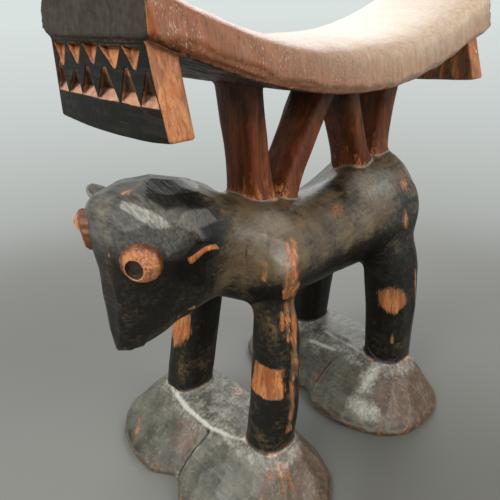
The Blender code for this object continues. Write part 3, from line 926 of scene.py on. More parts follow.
    def head(self, block):
        """Level sections from the jaw up to the crown."""
        if self.away(block, "head", 12.0):
            return self.none(block)
        low, high = BOX["head"]
        front, jaw, crown = low[0], low[2], high[2] - 0.2
        reach = high[0] - low[0]
        half = high[1] / 1.035
        # Share of height, then front setback, length and near and far half widths as shares
        sections = np.array(
            [
                (0.00, 0.02, 0.30, 0.20, 0.26),
                (0.07, 0.01, 0.50, 0.32, 0.36),
                (0.18, 0.00, 0.71, 0.50, 0.53),
                (0.34, 0.01, 0.89, 0.72, 0.66),
                (0.50, 0.03, 0.95, 0.90, 0.80),
                (0.66, 0.02, 0.96, 1.00, 1.06),
                (0.75, 0.01, 0.96, 1.00, 1.26),
                (0.85, 0.03, 0.86, 0.94, 1.12),
                (0.93, 0.09, 0.67, 0.78, 0.84),
                (0.98, 0.17, 0.48, 0.54, 0.54),
                (1.00, 0.27, 0.30, 0.30, 0.28),
            ]
        )
        rise = (block.z[0, 0] - jaw) / (crown - jaw)
        setback, long, near, far = (
            np.interp(rise, sections[:, 0], sections[:, k]).astype(np.float32)[None, None, :]
            for k in (1, 2, 3, 4)
        )
        half_x = reach * long / 2.0
        u = (block.x - (front + reach * setback + half_x)) / half_x
        lean = np.clip(u, -1.0, 1.0)
        flare = 0.04 + 0.18 * (1.0 - ease((rise - 0.45) / 0.25)).astype(np.float32)
        wide = np.where(block.y < 0.0, near * (1.0 + flare * lean), far * (1.0 + 0.10 * lean))
        v = block.y / (half * wide)
        level = np.where(block.y < 0.0, rounded(u, v, 2.3), rounded(u, v, 3.2))
        field = -join(-block.distance(level), -block.full(block.z - crown), 2.5)
        return np.maximum(field, jaw - block.z)

    def leg(self, block, node):
        """A round post with a swollen knee that bends inwards to the torso."""
        if self.away(block, node):
            return self.none(block)
        size = self.leg_size
        pair, side, _ = node.split("_")
        sign = SIDES[side]
        front = pair == "front"
        foot_x, hip_x = (size.fore_foot_x, size.fore_hip_x) if front else (size.hind_foot_x, size.hind_hip_x)
        radii = (
            (size.fore_foot_radius, size.fore_hip_radius)
            if front
            else (size.hind_foot_radius, size.hind_hip_radius)
        )
        belly, back = self.body_size.belly, self.body_size.back
        shift_x, shift_y, extra = LEG_SHIFTS[node]
        foot_x, hip_x = foot_x + shift_x, hip_x + shift_x
        radii = (radii[0] + extra, radii[1] + extra)
        ends = np.array(
            [
                (foot_x, sign * size.foot_y + shift_y, self.base_top),
                (hip_x, sign * size.hip_y + shift_y, belly),
                (hip_x, sign * size.shoulder_y, belly + 0.62 * (back - belly)),
            ]
        )
        t = np.linspace(0.0, 1.0, 60)[:, None]
        axis = (1 - t) ** 2 * ends[0] + 2 * t * (1 - t) * ends[1] + t**2 * ends[2]
        t = t[:, 0]
        taper = 1.0 - size.root_taper * np.maximum(0.0, 2.0 * t - 1.0) ** 2
        radius = (radii[0] + (radii[1] - radii[0]) * ease(t) + size.knee_swell * np.sin(math.pi * t)) * taper
        z = block.z[0, 0]
        centre_x, centre_y, wide = (
            np.interp(z, axis[:, 2], v).astype(np.float32)[None, None, :]
            for v in (axis[:, 0], axis[:, 1], radius)
        )
        level = rounded((block.x - centre_x) / wide, (block.y - centre_y) / wide, 2.7)
        field = block.distance(level)
        return np.maximum(field, np.maximum(self.base_top - 5.0 - block.z, block.z - ends[2][2]))

    def base(self, block, node):
        """A two-lobed mound whose level top carries a pair of legs."""
        if self.away(block, node):
            return self.none(block)
        size, legs = self.base_size, self.leg_size
        low, high = BOX[node]
        front = node == "front_base"
        leg_x = legs.fore_foot_x if front else legs.hind_foot_x
        leg_radius = legs.fore_foot_radius if front else legs.hind_foot_radius
        height = high[2]
        z = block.z
        climb = np.clip((z - size.lip) / (height - size.lip), 0.0, 1.0)
        roll = size.inset * np.clip(1.0 - z / size.lip, 0.0, 1.0) ** 2
        inward = climb**1.15 + roll
        half_length = (high[0] - low[0]) / 2.0 + size.spread
        half_x = half_length + (leg_radius + size.top_margin - half_length) * inward
        floor_y = high[1] + size.spread / 2.0
        half_y = floor_y + (legs.foot_y + leg_radius + size.top_margin - floor_y) * inward
        centre = leg_x - size.forward * (1.0 - inward)
        rise = np.clip(z / height, 0.0, 1.0)
        pinch = 1.0 - size.waist * (1.0 - rise) * np.exp(-((block.y / size.waist_reach) ** 2))
        level = rounded((block.x - centre) / (half_x * pinch), block.y / half_y, 2.7)
        field = block.distance(level)
        ahead = np.maximum(leg_x - size.top_reach - block.x, 0.0)
        field = -join(-field, -block.full(z - height + size.top_fall * ahead), 0.7)
        return np.maximum(field, -z)

    def face_spot(self, node):
        """Root, pointing direction and side sign of an eye or ear."""
        side, kind = node.split("_")
        sign = SIDES[side]
        if kind == "eye":
            angle = self.face_size.eye_turn
            way = Vector((-math.cos(angle), sign * math.sin(angle), 0.0))
        else:
            way = Vector((-math.sin(math.radians(28.0)), sign * math.cos(math.radians(28.0)), 0.407))
        return np.array(FACE_SPOTS[node]), way.normalized(), sign

    def eye_plan(self, offsets, way, sign):
        """Distances to an eye's edge, bumpy outline, rim and pit seen along its axis, and the way ahead."""
        size = self.face_size
        across = Vector((0, 0, 1)).cross(way).normalized()
        u, v = dot(offsets, across), dot(offsets, way.cross(across))
        around = np.arctan2(v, u)
        bumps = sum(0.016 * np.cos(lobes * around + lobes) for lobes in (3.0, 7.0, 11.0, 16.0))
        reach = np.sqrt(u * u + v * v)
        edge = reach - size.eye_root
        outline = reach - size.eye_root * (1.0 + bumps)
        ahead = sign * u
        u, v = u - sign * size.pupil_shift, v + 0.55 * size.pupil_shift
        u, v = u + 0.3 * sign * v, v - 0.3 * sign * u
        oval = np.sqrt((1.06 * u) ** 2 + (0.86 * v) ** 2)
        rim = oval - size.eye_rim
        pit = oval - size.pupil
        return edge, outline, rim, pit, ahead

    def eye(self, block, node):
        """A bulge on the head that rises to a rim round a pit for the pupil."""
        if self.away(block, node, 4.0):
            return self.none(block)
        size = self.face_size
        spot, way, sign = self.face_spot(node)
        offsets = (block.x - spot[0], block.y - spot[1], block.z - spot[2])
        edge, outline, rim, pit, ahead = self.eye_plan(offsets, way, sign)
        climb = np.clip(edge / np.minimum(edge - np.maximum(rim, 0.0), -1e-3), 0.0, 1.0)
        climb = np.where(edge < 0.0, climb, 0.0)
        top = size.eye_stand - size.eye_tilt * ahead
        height = size.eye_edge + np.maximum(top - size.eye_edge, 0.2) * climb**0.6
        height = height - size.pupil_depth * np.clip(-pit / 0.5, 0.0, 1.0)
        height = height + 0.14 * waves(block, 3.0, 5)
        field = self.head(block) - height
        return -join(-field, -block.full(outline), 0.4)

    def ear(self, block, node):
        """A thin leaf that stands out sideways, arched over its hollow underside."""
        if self.away(block, node, 4.0):
            return self.none(block)
        size = self.face_size
        spot, way, _ = self.face_spot(node)
        reach = size.ear_reach
        fore = Vector((-1.0, 0.0, 0.0))
        fore = (fore - way * fore.dot(way)).normalized()
        up = Vector((0.0, 0.0, 1.0))
        up = (up - way * up.dot(way) - fore * up.dot(fore)).normalized()
        roll = size.ear_roll
        fore, up = fore * math.cos(roll) - up * math.sin(roll), up * math.cos(roll) + fore * math.sin(roll)
        offsets = (block.x - spot[0], block.y - spot[1], block.z - spot[2])
        out, u, v = dot(offsets, way), dot(offsets, fore), dot(offsets, up)
        run = np.clip(out / reach, 0.0, 1.0)
        half = size.ear_width / 2.0
        arch = size.ear_cup * (0.4 - (u / half) ** 2)
        thick = size.ear_thickness / 2.0 * (1.0 - 0.45 * run)
        leaf = np.abs(v - arch) - thick
        outline = block.distance(rounded(u / half, np.maximum(out, 0.0) / reach, 2.6))
        field = -join(-block.full(leaf), -outline, 0.7)
        return np.maximum(field, -6.0 - out)

    def form(self, block, node):
        """The form of any member by its name."""
        kind = node.split("_")[-1]
        if node.startswith("strut"):
            return self.strut(block, node)
        if kind in ("pillow", "torso", "head"):
            return getattr(self, kind)(block)
        return getattr(self, kind)(block, node)


@functools.lru_cache(maxsize=1)
def pillow_blank(scene_name):
    """The pillow's block and the distances to its blank."""
    size = Sizes(bpy.data.scenes[scene_name].headrest_pillow)
    low, high = BOX["pillow"]
    values = {
        "Front": low[0],
        "Length": high[0] - low[0],
        "Half Width": high[1],
        "End Half Width": size.end_half_width,
        "Height": low[2],
        "Dip": size.dip,
        "Low Point": size.low_point,
        "Side Height": size.side_height,
        "Crown": size.crown,
        "Side Lean": size.side_lean,
        "Front Drop": size.front_drop,
    }
    block = Block(low - MARGIN, high + MARGIN, size.step)
    blank = grown("Pillow blank", pillow_tree, bpy.data.meshes.new("blank"), values)
    return block, shell(block, *blank, 6.0)


UPPER_CUTS = [
    # Middle and width of the stop, sideways lean and height of each upper chip cut
    (21.8, 7.4, -0.2, 6.6),
    (13.2, 8.3, -0.8, 5.6),
    (4.1, 8.4, -0.5, 5.2),
    (-5.6, 10.8, -1.7, 5.6),
    (-15.5, 8.7, -1.0, 5.4),
]
LOWER_CUTS = [
    # The same for the lower row, which points upwards
    (23.6, 6.8, 0.0, 8.6),
    (16.1, 7.8, -2.2, 6.4),
    (7.5, 8.9, -0.6, 7.6),
    (-2.2, 10.4, 0.1, 8.0),
    (-13.0, 9.0, 0.4, 8.4),
    (-21.4, 7.5, -0.3, 7.8),
]


def chip_cuts(block, node, size):
    """Distances to the chip cuts in the outer face of a lug."""
    low, high = BOX[node]
    front = node == "front_lug"
    face = low[0] if front else high[0]
    upper_stop = high[2] - size.upper_margin
    lower_stop = low[2] + size.sag + size.band
    mesh = bpy.data.meshes.new("chips")
    rows = [(m, w, lean, upper_stop, -tall, 0.0) for m, w, lean, tall in UPPER_CUTS]
    rows += [(m, w, lean, lower_stop + 2.4, tall - 2.4, size.bevel) for m, w, lean, tall in LOWER_CUTS]
    mesh.from_pydata([(face, row[0], row[3]) for row in rows], [], [])
    for key, column in (("wide", 1), ("lean", 2), ("tall", 4), ("drop", 5)):
        attribute = mesh.attributes.new(key, "FLOAT", "POINT")
        attribute.data.foreach_set("value", [row[column] for row in rows])
    values = {
        "Depth": size.depth,
        "Facing": 1.0 if front else -1.0,
        "Unevenness": size.jitter,
        "Seed": size.seed,
    }
    return shell(block, *grown("Chip row", chip_row_tree, mesh, values), 3.0)


FILLETS = {"strut": 1.6, "base": 2.2, "pillow": 1.6, "lug": 1.0, "eye": 0.5, "ear": 1.6}
STRUTS = ["strut_front_outer", "strut_front_inner", "strut_rear_inner", "strut_rear_outer"]
LEGS = ["front_left_leg", "front_right_leg", "rear_left_leg", "rear_right_leg"]
BASES = ["front_base", "rear_base"]
LUGS = ["front_lug", "rear_lug"]
EYES = ["left_eye", "right_eye"]
EARS = ["left_ear", "right_ear"]
JOIN_ORDER = ["torso", "head", *LEGS, *STRUTS, *BASES, "pillow", *LUGS, *EARS, *EYES]


def kind_of(node):
    """What sort of member a node is."""
    return "strut" if node.startswith("strut") else node.split("_")[-1]


def whole_of(carving, block, nodes):
    """The members near a block joined into one, and each member's own form."""
    forms = {}
    whole = None
    body = carving.body_size
    neck = body.neck_fillet + (body.nape_fillet - body.neck_fillet) * ease((block.z - 86.0) / 14.0)
    fillets = dict(FILLETS, leg=body.hip_fillet, head=neck)
    for node in JOIN_ORDER:
        if node not in nodes or carving.away(block, node, 3.0):
            continue
        forms[node] = carving.form(block, node)
        if whole is None:
            whole = forms[node]
        else:
            whole = join(whole, forms[node], fillets[kind_of(node)])
    return whole, forms


NEIGHBOURS = {
    "pillow": [*STRUTS, *LUGS],
    "lug": ["pillow"],
    "strut": ["torso", "pillow", *STRUTS],
    "torso": ["head", *LEGS, *STRUTS],
    "head": ["torso", *EARS],
    "leg": ["torso", *BASES],
    "base": LEGS,
    "eye": ["head"],
    "ear": ["head"],
}
SEAM_SLOPE = 0.06
SEAM_ROUND = 7.0
SEAM_LAP = 2.0


def part_off(whole, forms, node):
    """The share of the whole that belongs to one member, run under its neighbours at the seams."""
    others = [forms[n] for n in forms if n != node]
    if not others:
        return whole
    rest = functools.reduce(np.minimum, others)
    over = np.maximum(forms[node] - rest, 0.0)
    return np.maximum(whole + SEAM_SLOPE * over + over * over / (2.0 * SEAM_ROUND), over - SEAM_LAP)


# Strokes that the whole headrest is carved with


STROKE_KINDS = {
    # Spacing, guide direction, depths, radii along and across the stroke
    "torso": (6.0, (1.0, 0.0, 0.25), (0.35, 0.85), (60.0, 120.0), (35.0, 75.0)),
    "head": (4.8, None, (0.3, 0.7), (50.0, 100.0), (40.0, 80.0)),
    "leg": (5.6, (0.1, 0.0, 1.0), (0.3, 0.7), (90.0, 180.0), (45.0, 90.0)),
    "strut": (7.0, (0.0, 0.0, 1.0), (0.12, 0.42), (90.0, 180.0), (45.0, 90.0)),
    "base": (7.4, (-0.6, 0.0, -0.6), (0.4, 1.0), (40.0, 90.0), (30.0, 65.0)),
}


@functools.lru_cache(maxsize=1)
def rough_out(scene_name):
    """The animal, struts and mounds on a coarse block, and each member's form there."""
    carving = Carving(bpy.data.scenes[scene_name])
    nodes = ["torso", "head", *LEGS, *STRUTS, *BASES]
    low = np.min([BOX[n][0] for n in nodes], axis=0) - 3.0
    high = np.max([BOX[n][1] for n in nodes], axis=0) + 3.0
    block = Block(low, high, 1.2)
    return (block, *whole_of(carving, block, nodes))


@functools.lru_cache(maxsize=1)
def random_strokes(scene_name):
    """Knife strokes spread over the animal, the struts and the mounds."""
    block, whole, forms = rough_out(scene_name)
    rng = np.random.default_rng(11)
    strokes = []
    spots, normals = surface(block, whole)
    places = (spots - block.low) / block.step
    nearest = np.argmin([sample(forms[n], places) for n in forms], axis=0)
    kinds = np.array([kind_of(n) for n in forms])[nearest]
    for kind, (spacing, guide, depths, along, across) in STROKE_KINDS.items():
        mine = np.flatnonzero((kinds == kind) & (spots[:, 2] > 2.0))
        for i in mine[scatter(rng, spots[mine], spacing, 420)]:
            way = rng.normal(size=3) if guide is None else np.array(guide) + rng.normal(size=3) * 0.22
            tilt = normals[i] + rng.normal(size=3) * 0.05
            stroke = Stroke(
                spots[i], tilt, way, rng.uniform(*depths), rng.uniform(*along), rng.uniform(*across)
            )
            if runs_free(block, whole, stroke):
                strokes.append(stroke)
    return strokes


def runs_free(block, whole, stroke):
    """Whether the knife can leave the wood all round a stroke."""
    angles = np.linspace(0.0, 2.0 * math.pi, 16, endpoint=False)[:, None]
    long = math.sqrt(2.0 * stroke.along_radius * stroke.depth)
    wide = math.sqrt(2.0 * stroke.across_radius * stroke.depth)
    ring = np.cos(angles) * long * stroke.along + np.sin(angles) * wide * stroke.across
    rings = [ring * reach + rise * stroke.normal for reach in (0.4, 0.8, 1.2, 1.5) for rise in (0.4, 1.2)]
    rings = np.concatenate(rings) + stroke.spot
    return bool(np.all(sample(whole, (rings - block.low) / block.step) > 0.0))


def on_surface(scene_name, spot):
    """The place on the roughed-out surface nearest to a spot, and the normal there."""
    block, whole, _ = rough_out(scene_name)
    spot = np.array(spot, float)
    for _ in range(6):
        probe = np.concatenate([[spot], spot + 0.8 * np.eye(3), spot - 0.8 * np.eye(3)])
        value = sample(whole, (probe - block.low) / block.step)
        slope = (value[1:4] - value[4:7]) / 1.6
        spot = spot - slope * value[0] / max(slope @ slope, 0.05)
    return spot, slope / np.linalg.norm(slope)


def pillow_strokes(carving):
    """Knife strokes along the pillow's side bands, its lower arrises and its underside."""
    rng = np.random.default_rng(31)
    low, high = BOX["pillow"]
    strokes = []
    for x in np.arange(low[0] + 3.0, high[0] - 2.0, 6.5):
        for sign in (-1.0, 1.0):
            spot_x = x + rng.uniform(-2.0, 2.0)
            base = low[2] + carving.bend(spot_x)
            middle, reach = (low[0] + high[0]) / 2.0, (high[0] - low[0]) / 2.0
            wide = high[1] + (carving.pillow_size.end_half_width - high[1]) * ((spot_x - middle) / reach) ** 2
            slope = 2.0 * carving.pillow_size.dip * (spot_x - carving.pillow_size.low_point) / reach**2
            along = (1.0, 0.0, slope)
            arris = (spot_x, sign * wide, base + 0.3)
            strokes.append(
                Stroke(arris, (0, sign * 0.7, -0.7), along, rng.uniform(0.5, 1.3), rng.uniform(14, 40), 30.0)
            )
            side = (spot_x, sign * (wide - 0.8), base + rng.uniform(2.0, 7.5))
            strokes.append(
                Stroke(side, (0, sign, 0.16), along, rng.uniform(0.05, 0.3), rng.uniform(30, 60), rng.uniform(14, 30))
            )
        for y in np.arange(-24.0, 25.0, 8.0):
            spot = (x + rng.uniform(-2.5, 2.5), y + rng.uniform(-3, 3), low[2] + carving.bend(x))
            steep = 2.0 * carving.pillow_size.dip * (spot[0] - carving.pillow_size.low_point) / reach**2
            spot = (spot[0], spot[1], low[2] + carving.bend(spot[0]))
            strokes.append(
                Stroke(spot, (steep, rng.normal() * 0.04, -1.0), (1, 0, 0), rng.uniform(0.1, 0.4), 40.0, rng.uniform(10, 24))
            )
    for end, way in ((low[0], -1.0), (high[0], 1.0)):
        for y in (-18.0, -6.0, 6.0, 18.0):
            spot = (end, y + rng.uniform(-3, 3), low[2] + carving.bend(end) + rng.uniform(3.0, 9.0))
            normal = (way, rng.normal() * 0.05, rng.normal() * 0.08)
            strokes.append(Stroke(spot, normal, (0, 1, 0.2), rng.uniform(0.2, 0.45), 90.0, 60.0))
    corner = (low[0] + 1.0, 25.8, 163.5)
    strokes.append(Stroke(corner, (-0.3, 0.75, 0.6), (1, 0, 0), 1.0, 25.0, 20.0, cap=3.0))
    return strokes


FLATS = [
    # Spot, direction, depth and two radii of the flats that stand out
    ((-67.3, -8.0, 112.0), (0.6, -0.9, -0.3), 0.5, 90.0, 36.0),
    ((-57.0, -16.3, 109.0), (0.8, -0.3, 0.0), 0.5, 70.0, 50.0),
    ((-63.9, -15.0, 104.7), (0.2, 0.2, 1.0), 0.4, 50.0, 40.0),
    ((21.5, -26.5, 16.0), (-0.7, 0.0, -0.6), 0.7, 60.0, 40.0),
    ((11.5, -31.0, 7.5), (-0.2, -0.7, -0.2), 0.7, 60.0, 40.0),
]
NOTCHES = [
    # Start, end, depth, widths at both ends and end taper of the notches with one steep wall
    ((-68.2, -9.0, 71.0), (-68.9, 3.0, 71.0), 0.7, (7.0, 7.0), 0.3),
    ((-36.8, -21.4, 90.0), (-33.4, -20.8, 98.6), 0.5, (4.0, 4.0), 0.3),
    ((-32.0, -26.8, 80.0), (-30.6, -25.6, 91.0), 0.4, (4.0, 4.0), 0.3),
    ((22.5, -23.0, 76.0), (24.5, -22.4, 87.0), 0.5, (3.5, 3.5), 0.3),
    ((12.5, -21.8, 85.8), (4.5, -22.0, 84.0), 0.5, (2.5, 2.5), 0.3),
    ((-63.2, -1.6, 3.0), (-48.0, -3.0, 18.6), 1.5, (2.5, 13.0), 0.1),
    ((7.6, -4.0, 4.0), (21.5, -7.4, 18.0), 1.0, (3.0, 6.0), 0.25),
]


@functools.lru_cache(maxsize=1)
def hand_notches(scene_name):
    """The notches laid on the surface: start, end, normal, depth, widths and taper."""
    laid = []
    for start, end, depth, widths, taper in NOTCHES:
        start, first = on_surface(scene_name, start)
        end, last = on_surface(scene_name, end)
        laid.append((start, end, first + last, depth, widths, taper))
    return laid


@functools.lru_cache(maxsize=1)
def hand_flats(scene_name):
    """The flats laid on the surface."""
    return [Stroke(*on_surface(scene_name, spot), *rest, cap=2.0) for spot, *rest in FLATS]


def hand_cuts(block, field):
    """The cuts that stand out one by one."""
    carve(block, field, hand_flats(bpy.context.scene.name))
    for cut in hand_notches(bpy.context.scene.name):
        notch(block, field, *cut)


# Meshes and attributes


def polygons(block, field):
    """Closed quads round a field, without loose specks."""
    grid = openvdb.FloatGrid(1.0)
    padded = np.pad(field.astype(np.float32), 1, constant_values=1.0)
    grid.copyFromArray(padded)
    spots, quads = grid.convertToQuads(isovalue=0.0)
    spots = spots - 1.0
    quads = quads.astype(np.int64)
    label = np.arange(len(spots))
    while True:
        lowest = label[quads].min(axis=1)
        fresh = label.copy()
        for corner in range(4):
            np.minimum.at(fresh, quads[:, corner], lowest)
        fresh = fresh[fresh]
        if np.array_equal(fresh, label):
            break
        label = fresh
    names, counts = np.unique(label, return_counts=True)
    main = names[np.argmax(counts)]
    keep = label == main
    order = np.cumsum(keep) - 1
    return spots[keep], order[quads[keep[quads[:, 0]]]]


def make_piece(node, slot, block, field, masks, forms):
    """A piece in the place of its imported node, with its masks as attributes."""
    spots, quads = polygons(block, field)
    name = "carved_" + node
    mesh = bpy.data.meshes.new(name)
    points = spots * block.step + block.low
    mesh.from_pydata((points * MM).tolist(), [], quads.tolist())
    mesh.shade_smooth()
    fine = blur(field, 3)
    ridge = sample(bending(fine, block.step), spots)
    broad = sample(bending(blur(fine, 8), block.step), spots)
    values = {"bare": 0.0, "soot": 0.0, "dust": 0.0}
    values.update(masks(points, lambda other: sample(forms[other], spots)))
    values["ridge"] = np.clip((ridge - broad) * 2.2, -1.0, 1.0)
    values["round"] = np.clip(broad * 4.0, -1.0, 1.0)
    for key, value in values.items():
        attribute = mesh.attributes.new(key, "FLOAT", "POINT")
        value = np.broadcast_to(np.asarray(value, np.float32), len(spots))
        attribute.data.foreach_set("value", np.ascontiguousarray(value))
    mesh.materials.append(finish(slot))
    piece = bpy.data.objects.new(name, mesh)
    bpy.context.scene.collection.objects.link(piece)
    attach(piece, "root")
    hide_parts(node)


def patch(points, spot, radii, soft=0.35):
    """A mask that is 1 inside an oval patch and fades over its edge."""
    gap = np.sqrt(np.sum(((points - np.array(spot)) / np.array(radii)) ** 2, axis=1))
    return ease((1.0 + soft - gap) / (2.0 * soft))


def streak(points, start, end, wide):
    """A mask that is 1 along a line and fades to nothing over its width."""
    start, end = np.array(start, float), np.array(end, float)
    line = end - start
    t = np.clip((points - start) @ line / (line @ line), 0.0, 1.0)
    gap = np.linalg.norm(points - start - t[:, None] * line, axis=1)
    return ease(1.0 - gap / wide)


def facet(points, corners, soft=0.6):
    """A mask that is 1 on a flat with the given corners."""
    corners = np.array(corners, float)
    middle = corners.mean(axis=0)
    ahead = np.roll(corners, -1, axis=0)
    normal = np.sum(np.cross(corners - middle, ahead - middle), axis=0)
    normal = normal / np.linalg.norm(normal)
    inside = np.full(len(points), FAR)
    for start, end in zip(corners, ahead):
        inward = np.cross(normal, end - start)
        inside = np.minimum(inside, (points - start) @ (inward / np.linalg.norm(inward)))
    return ease(inside / soft + 0.5) * ease(4.0 - np.abs((points - middle) @ normal))


def most(*masks):
    """The strongest of several masks."""
    return functools.reduce(np.maximum, masks)


def worked(node, step, nodes, strokes):
    """A member's block, its worked field before parting, and the forms round it."""
    carving = Carving(bpy.context.scene)
    low, high = BOX[node]
    room = ROOM.get(node, MARGIN)
    block = Block(low - room, high + room, step)
    whole, forms = whole_of(carving, block, [node, *nodes])
    whole = whole + 0.09 * waves(block, 14.0, 7)
    carve(block, whole, strokes)
    hand_cuts(block, whole)
    return block, whole, forms


# Masks of bare wood, soot with painted shade and dust with painted highlights, in millimetres


def pillow_masks(carving, points, near):
    """Sooted ends, painted shade on the underside, bare wood on the front end's near edge, and a painted sheen on the
    rear top.
    """
    x, y, z = points.T
    low, high = BOX["pillow"]
    up = z - (low[2] + carving.bend(x))
    front = ease((low[0] + 1.3 - x) / 0.8)
    rear = ease((x - high[0] + 1.3) / 0.8)
    # Painted shade along the underside, kept in the soot mask
    under = 0.75 * ease((1.2 - up) / 1.0)
    edge = streak(points, (low[0] + 0.8, -27.2, 154.5), (low[0] + 0.8, -26.6, 163.5), 2.2)
    lower = 0.55 * ease(1.0 - np.abs(up - 0.6) / 1.0) * ease((-26.0 - y) / 1.5)
    # Painted sheen that grows towards the rear and the top, kept in the dust mask
    top = ease((up - 4.0) / 7.0)
    haze = ease((x + 75.0) / 130.0) * (0.5 + 0.5 * top) * (1.0 - under)
    return {"soot": most(front, rear, under), "bare": most(edge, lower), "dust": haze}


def lug_masks(node, size, block, uncut, points, near):
    """Bare wood in the chip cuts and down the sides of a lug, with painted shade on the lower cuts' floors and the
    top of the sides, and a painted highlight on the ledges.
    """
    x, y, z = points.T
    low, high = BOX[node]
    cut = ease((-sample(uncut, (points - block.low) / block.step) - 0.08) / 0.2)
    ledge = low[2] + size.sag + size.band
    upper = ease((z - ledge - 5.6) / 0.8)
    shelf = ease((ledge + 2.3 - z) / 0.4)
    # The lower cuts' floors keep little bare wood: painted shade on these downward faces
    floors = cut * most(0.95 * upper, 1.0 * shelf, 0.30)
    half = lug_half_width(size, node, y, z)
    # Less bare wood towards the top of the sides: painted shade under the pillow
    side = ease((np.abs(y) - half + 0.9) / 0.5) * (0.75 + 0.25 * ease((152.0 - z) / 6.0))
    inner = ease((x - high[0] + 0.8) / 0.5) if node == "front_lug" else ease((low[0] + 0.8 - x) / 0.5)
    soot = 1.35 - most(0.95 * cut, side, 0.5 * inner)
    # Paler ledges from the dust mask: painted highlight on these upward faces
    return {"bare": most(floors, side, 0.5 * inner), "soot": soot, "dust": 0.45 * cut * shelf}


def strut_masks(node, points, near):
    """Darker tops and darker rear struts, and bare wood round the foot of a strut."""
    x, y, z = points.T
    low, high = BOX[node]
    rise = (z - low[2]) / (high[2] - low[2])
    foot = ease(1.0 - np.abs(near("torso") - 0.5) / 1.6)
    rear = 0.35 if node.startswith("strut_rear") else 0.0
    top = ease((rise - 0.45) / 0.5) * 0.75
    low_side = 0.35 * ease((0.5 - rise) / 0.5)
    return {"soot": np.clip(top + rear, 0.0, 1.0), "bare": most(0.45 * foot, low_side)}


def body_soot_and_shade(points):
    """How black the animal is: worn on the back, blacker towards the head, and with painted shade that makes it
    blacker underneath.
    """
    x, _, z = points.T
    # The lower terms are painted shade under the body; the last one also damps the floor's reflection on the belly
    back = 0.46 + 0.54 * ease((91.0 - z) / 18.0) + 0.35 * ease((86.0 - z) / 9.0)
    return back + (0.94 - back) * ease((-44.0 - x) / 10.0)


SHOULDER_STREAKS = [
    # Start, end, width and strength of the bare streaks on the near shoulder
    ((-28.0, -23.7, 95.2), (-30.2, -25.9, 89.0), 1.8, 0.6),
    ((-30.2, -25.9, 89.0), (-29.8, -25.5, 81.0), 3.0, 0.55),
    ((-29.8, -25.5, 81.0), (-28.3, -24.2, 72.0), 3.0, 0.52),
    ((-25.5, -24.0, 94.5), (-28.7, -27.1, 87.0), 3.4, 0.6),
    ((-28.7, -27.1, 87.0), (-28.1, -26.6, 81.7), 4.4, 0.62),
    ((-28.1, -26.6, 81.7), (-24.6, -23.4, 73.0), 4.4, 0.6),
    ((-34.1, -19.9, 98.0), (-36.0, -21.8, 89.8), 1.4, 0.7),
    ((-36.0, -21.8, 89.8), (-35.8, -21.5, 84.8), 1.8, 0.75),
    ((-35.8, -21.5, 84.8), (-33.8, -23.2, 88.0), 1.4, 0.7),
]


def torso_masks(points, near):
    """Worn and bare places of the torso."""
    bare = most(
        0.4 * patch(points, (6.2, -16.4, 93.9), (4.4, 3.0, 2.0), 0.8),
        0.36 * patch(points, (-17.6, -19.0, 98.0), (3.2, 3.0, 1.8), 0.8),
        0.42 * patch(points, (42.1, -20.0, 97.3), (2.4, 3.0, 4.4), 0.8),
        0.42 * patch(points, (38.6, -23.9, 83.3), (1.8, 3.0, 4.6), 0.8),
        *(share * streak(points, start, end, wide) for start, end, wide, share in SHOULDER_STREAKS),
    )
    feet = [ease(1.0 - np.abs(near(strut) - 0.4) / 1.1) for strut in STRUTS]
    feet = most(*feet)
    dust = most(
        0.8 * streak(points, (-50.8, -7.5, 116.0), (-30.7, -14.4, 103.0), 1.2),
        0.7 * streak(points, (17.4, -10.9, 98.0), (18.4, -14.0, 92.0), 0.9),
        0.6 * patch(points, (27.5, -15.0, 99.0), (9.0, 7.0, 5.0), 0.8),
        0.45 * patch(points, (-28.8, -18.0, 101.0), (7.0, 6.0, 4.0), 0.8),
        0.5 * patch(points, (-31.0, -24.5, 90.0), (2.5, 3.0, 4.0), 0.8),
        0.6 * feet,
    )
    return {"bare": most(bare, 0.4 * feet), "dust": dust, "soot": body_soot_and_shade(points)}


HEAD_FACETS = {
    # Corners of the flats that get a painted highlight, and of the flat on the crown that gets painted shade
    "brow": [
        (-70.2, -3.1, 115.9),
        (-68.3, -6.6, 115.9),
        (-65.5, -14.0, 111.5),
        (-63.2, -15.8, 109.4),
        (-65.4, -15.2, 108.4),
        (-68.8, -13.9, 109.1),
        (-73.1, -6.1, 113.8),
    ],
    "temple": [
        (-59.9, -15.1, 111.6),
        (-51.6, -14.7, 110.4),
        (-48.7, -16.1, 106.3),
        (-59.5, -17.5, 106.4),
        (-63.3, -15.9, 108.8),
    ],
    "cheek": [
        (-68.4, -14.5, 106.0),
        (-65.3, -15.1, 108.9),
        (-60.4, -17.0, 107.2),
        (-61.9, -16.7, 103.4),
        (-66.1, -15.8, 100.4),
    ],
    "crown": [
        (-62.2, -2.1, 117.7),
        (-56.4, 1.8, 117.9),
        (-50.9, -1.7, 116.1),
        (-47.5, -10.5, 111.9),
        (-56.7, -14.5, 112.3),
        (-64.0, -13.8, 112.4),
        (-66.6, -8.9, 115.8),
    ],
}


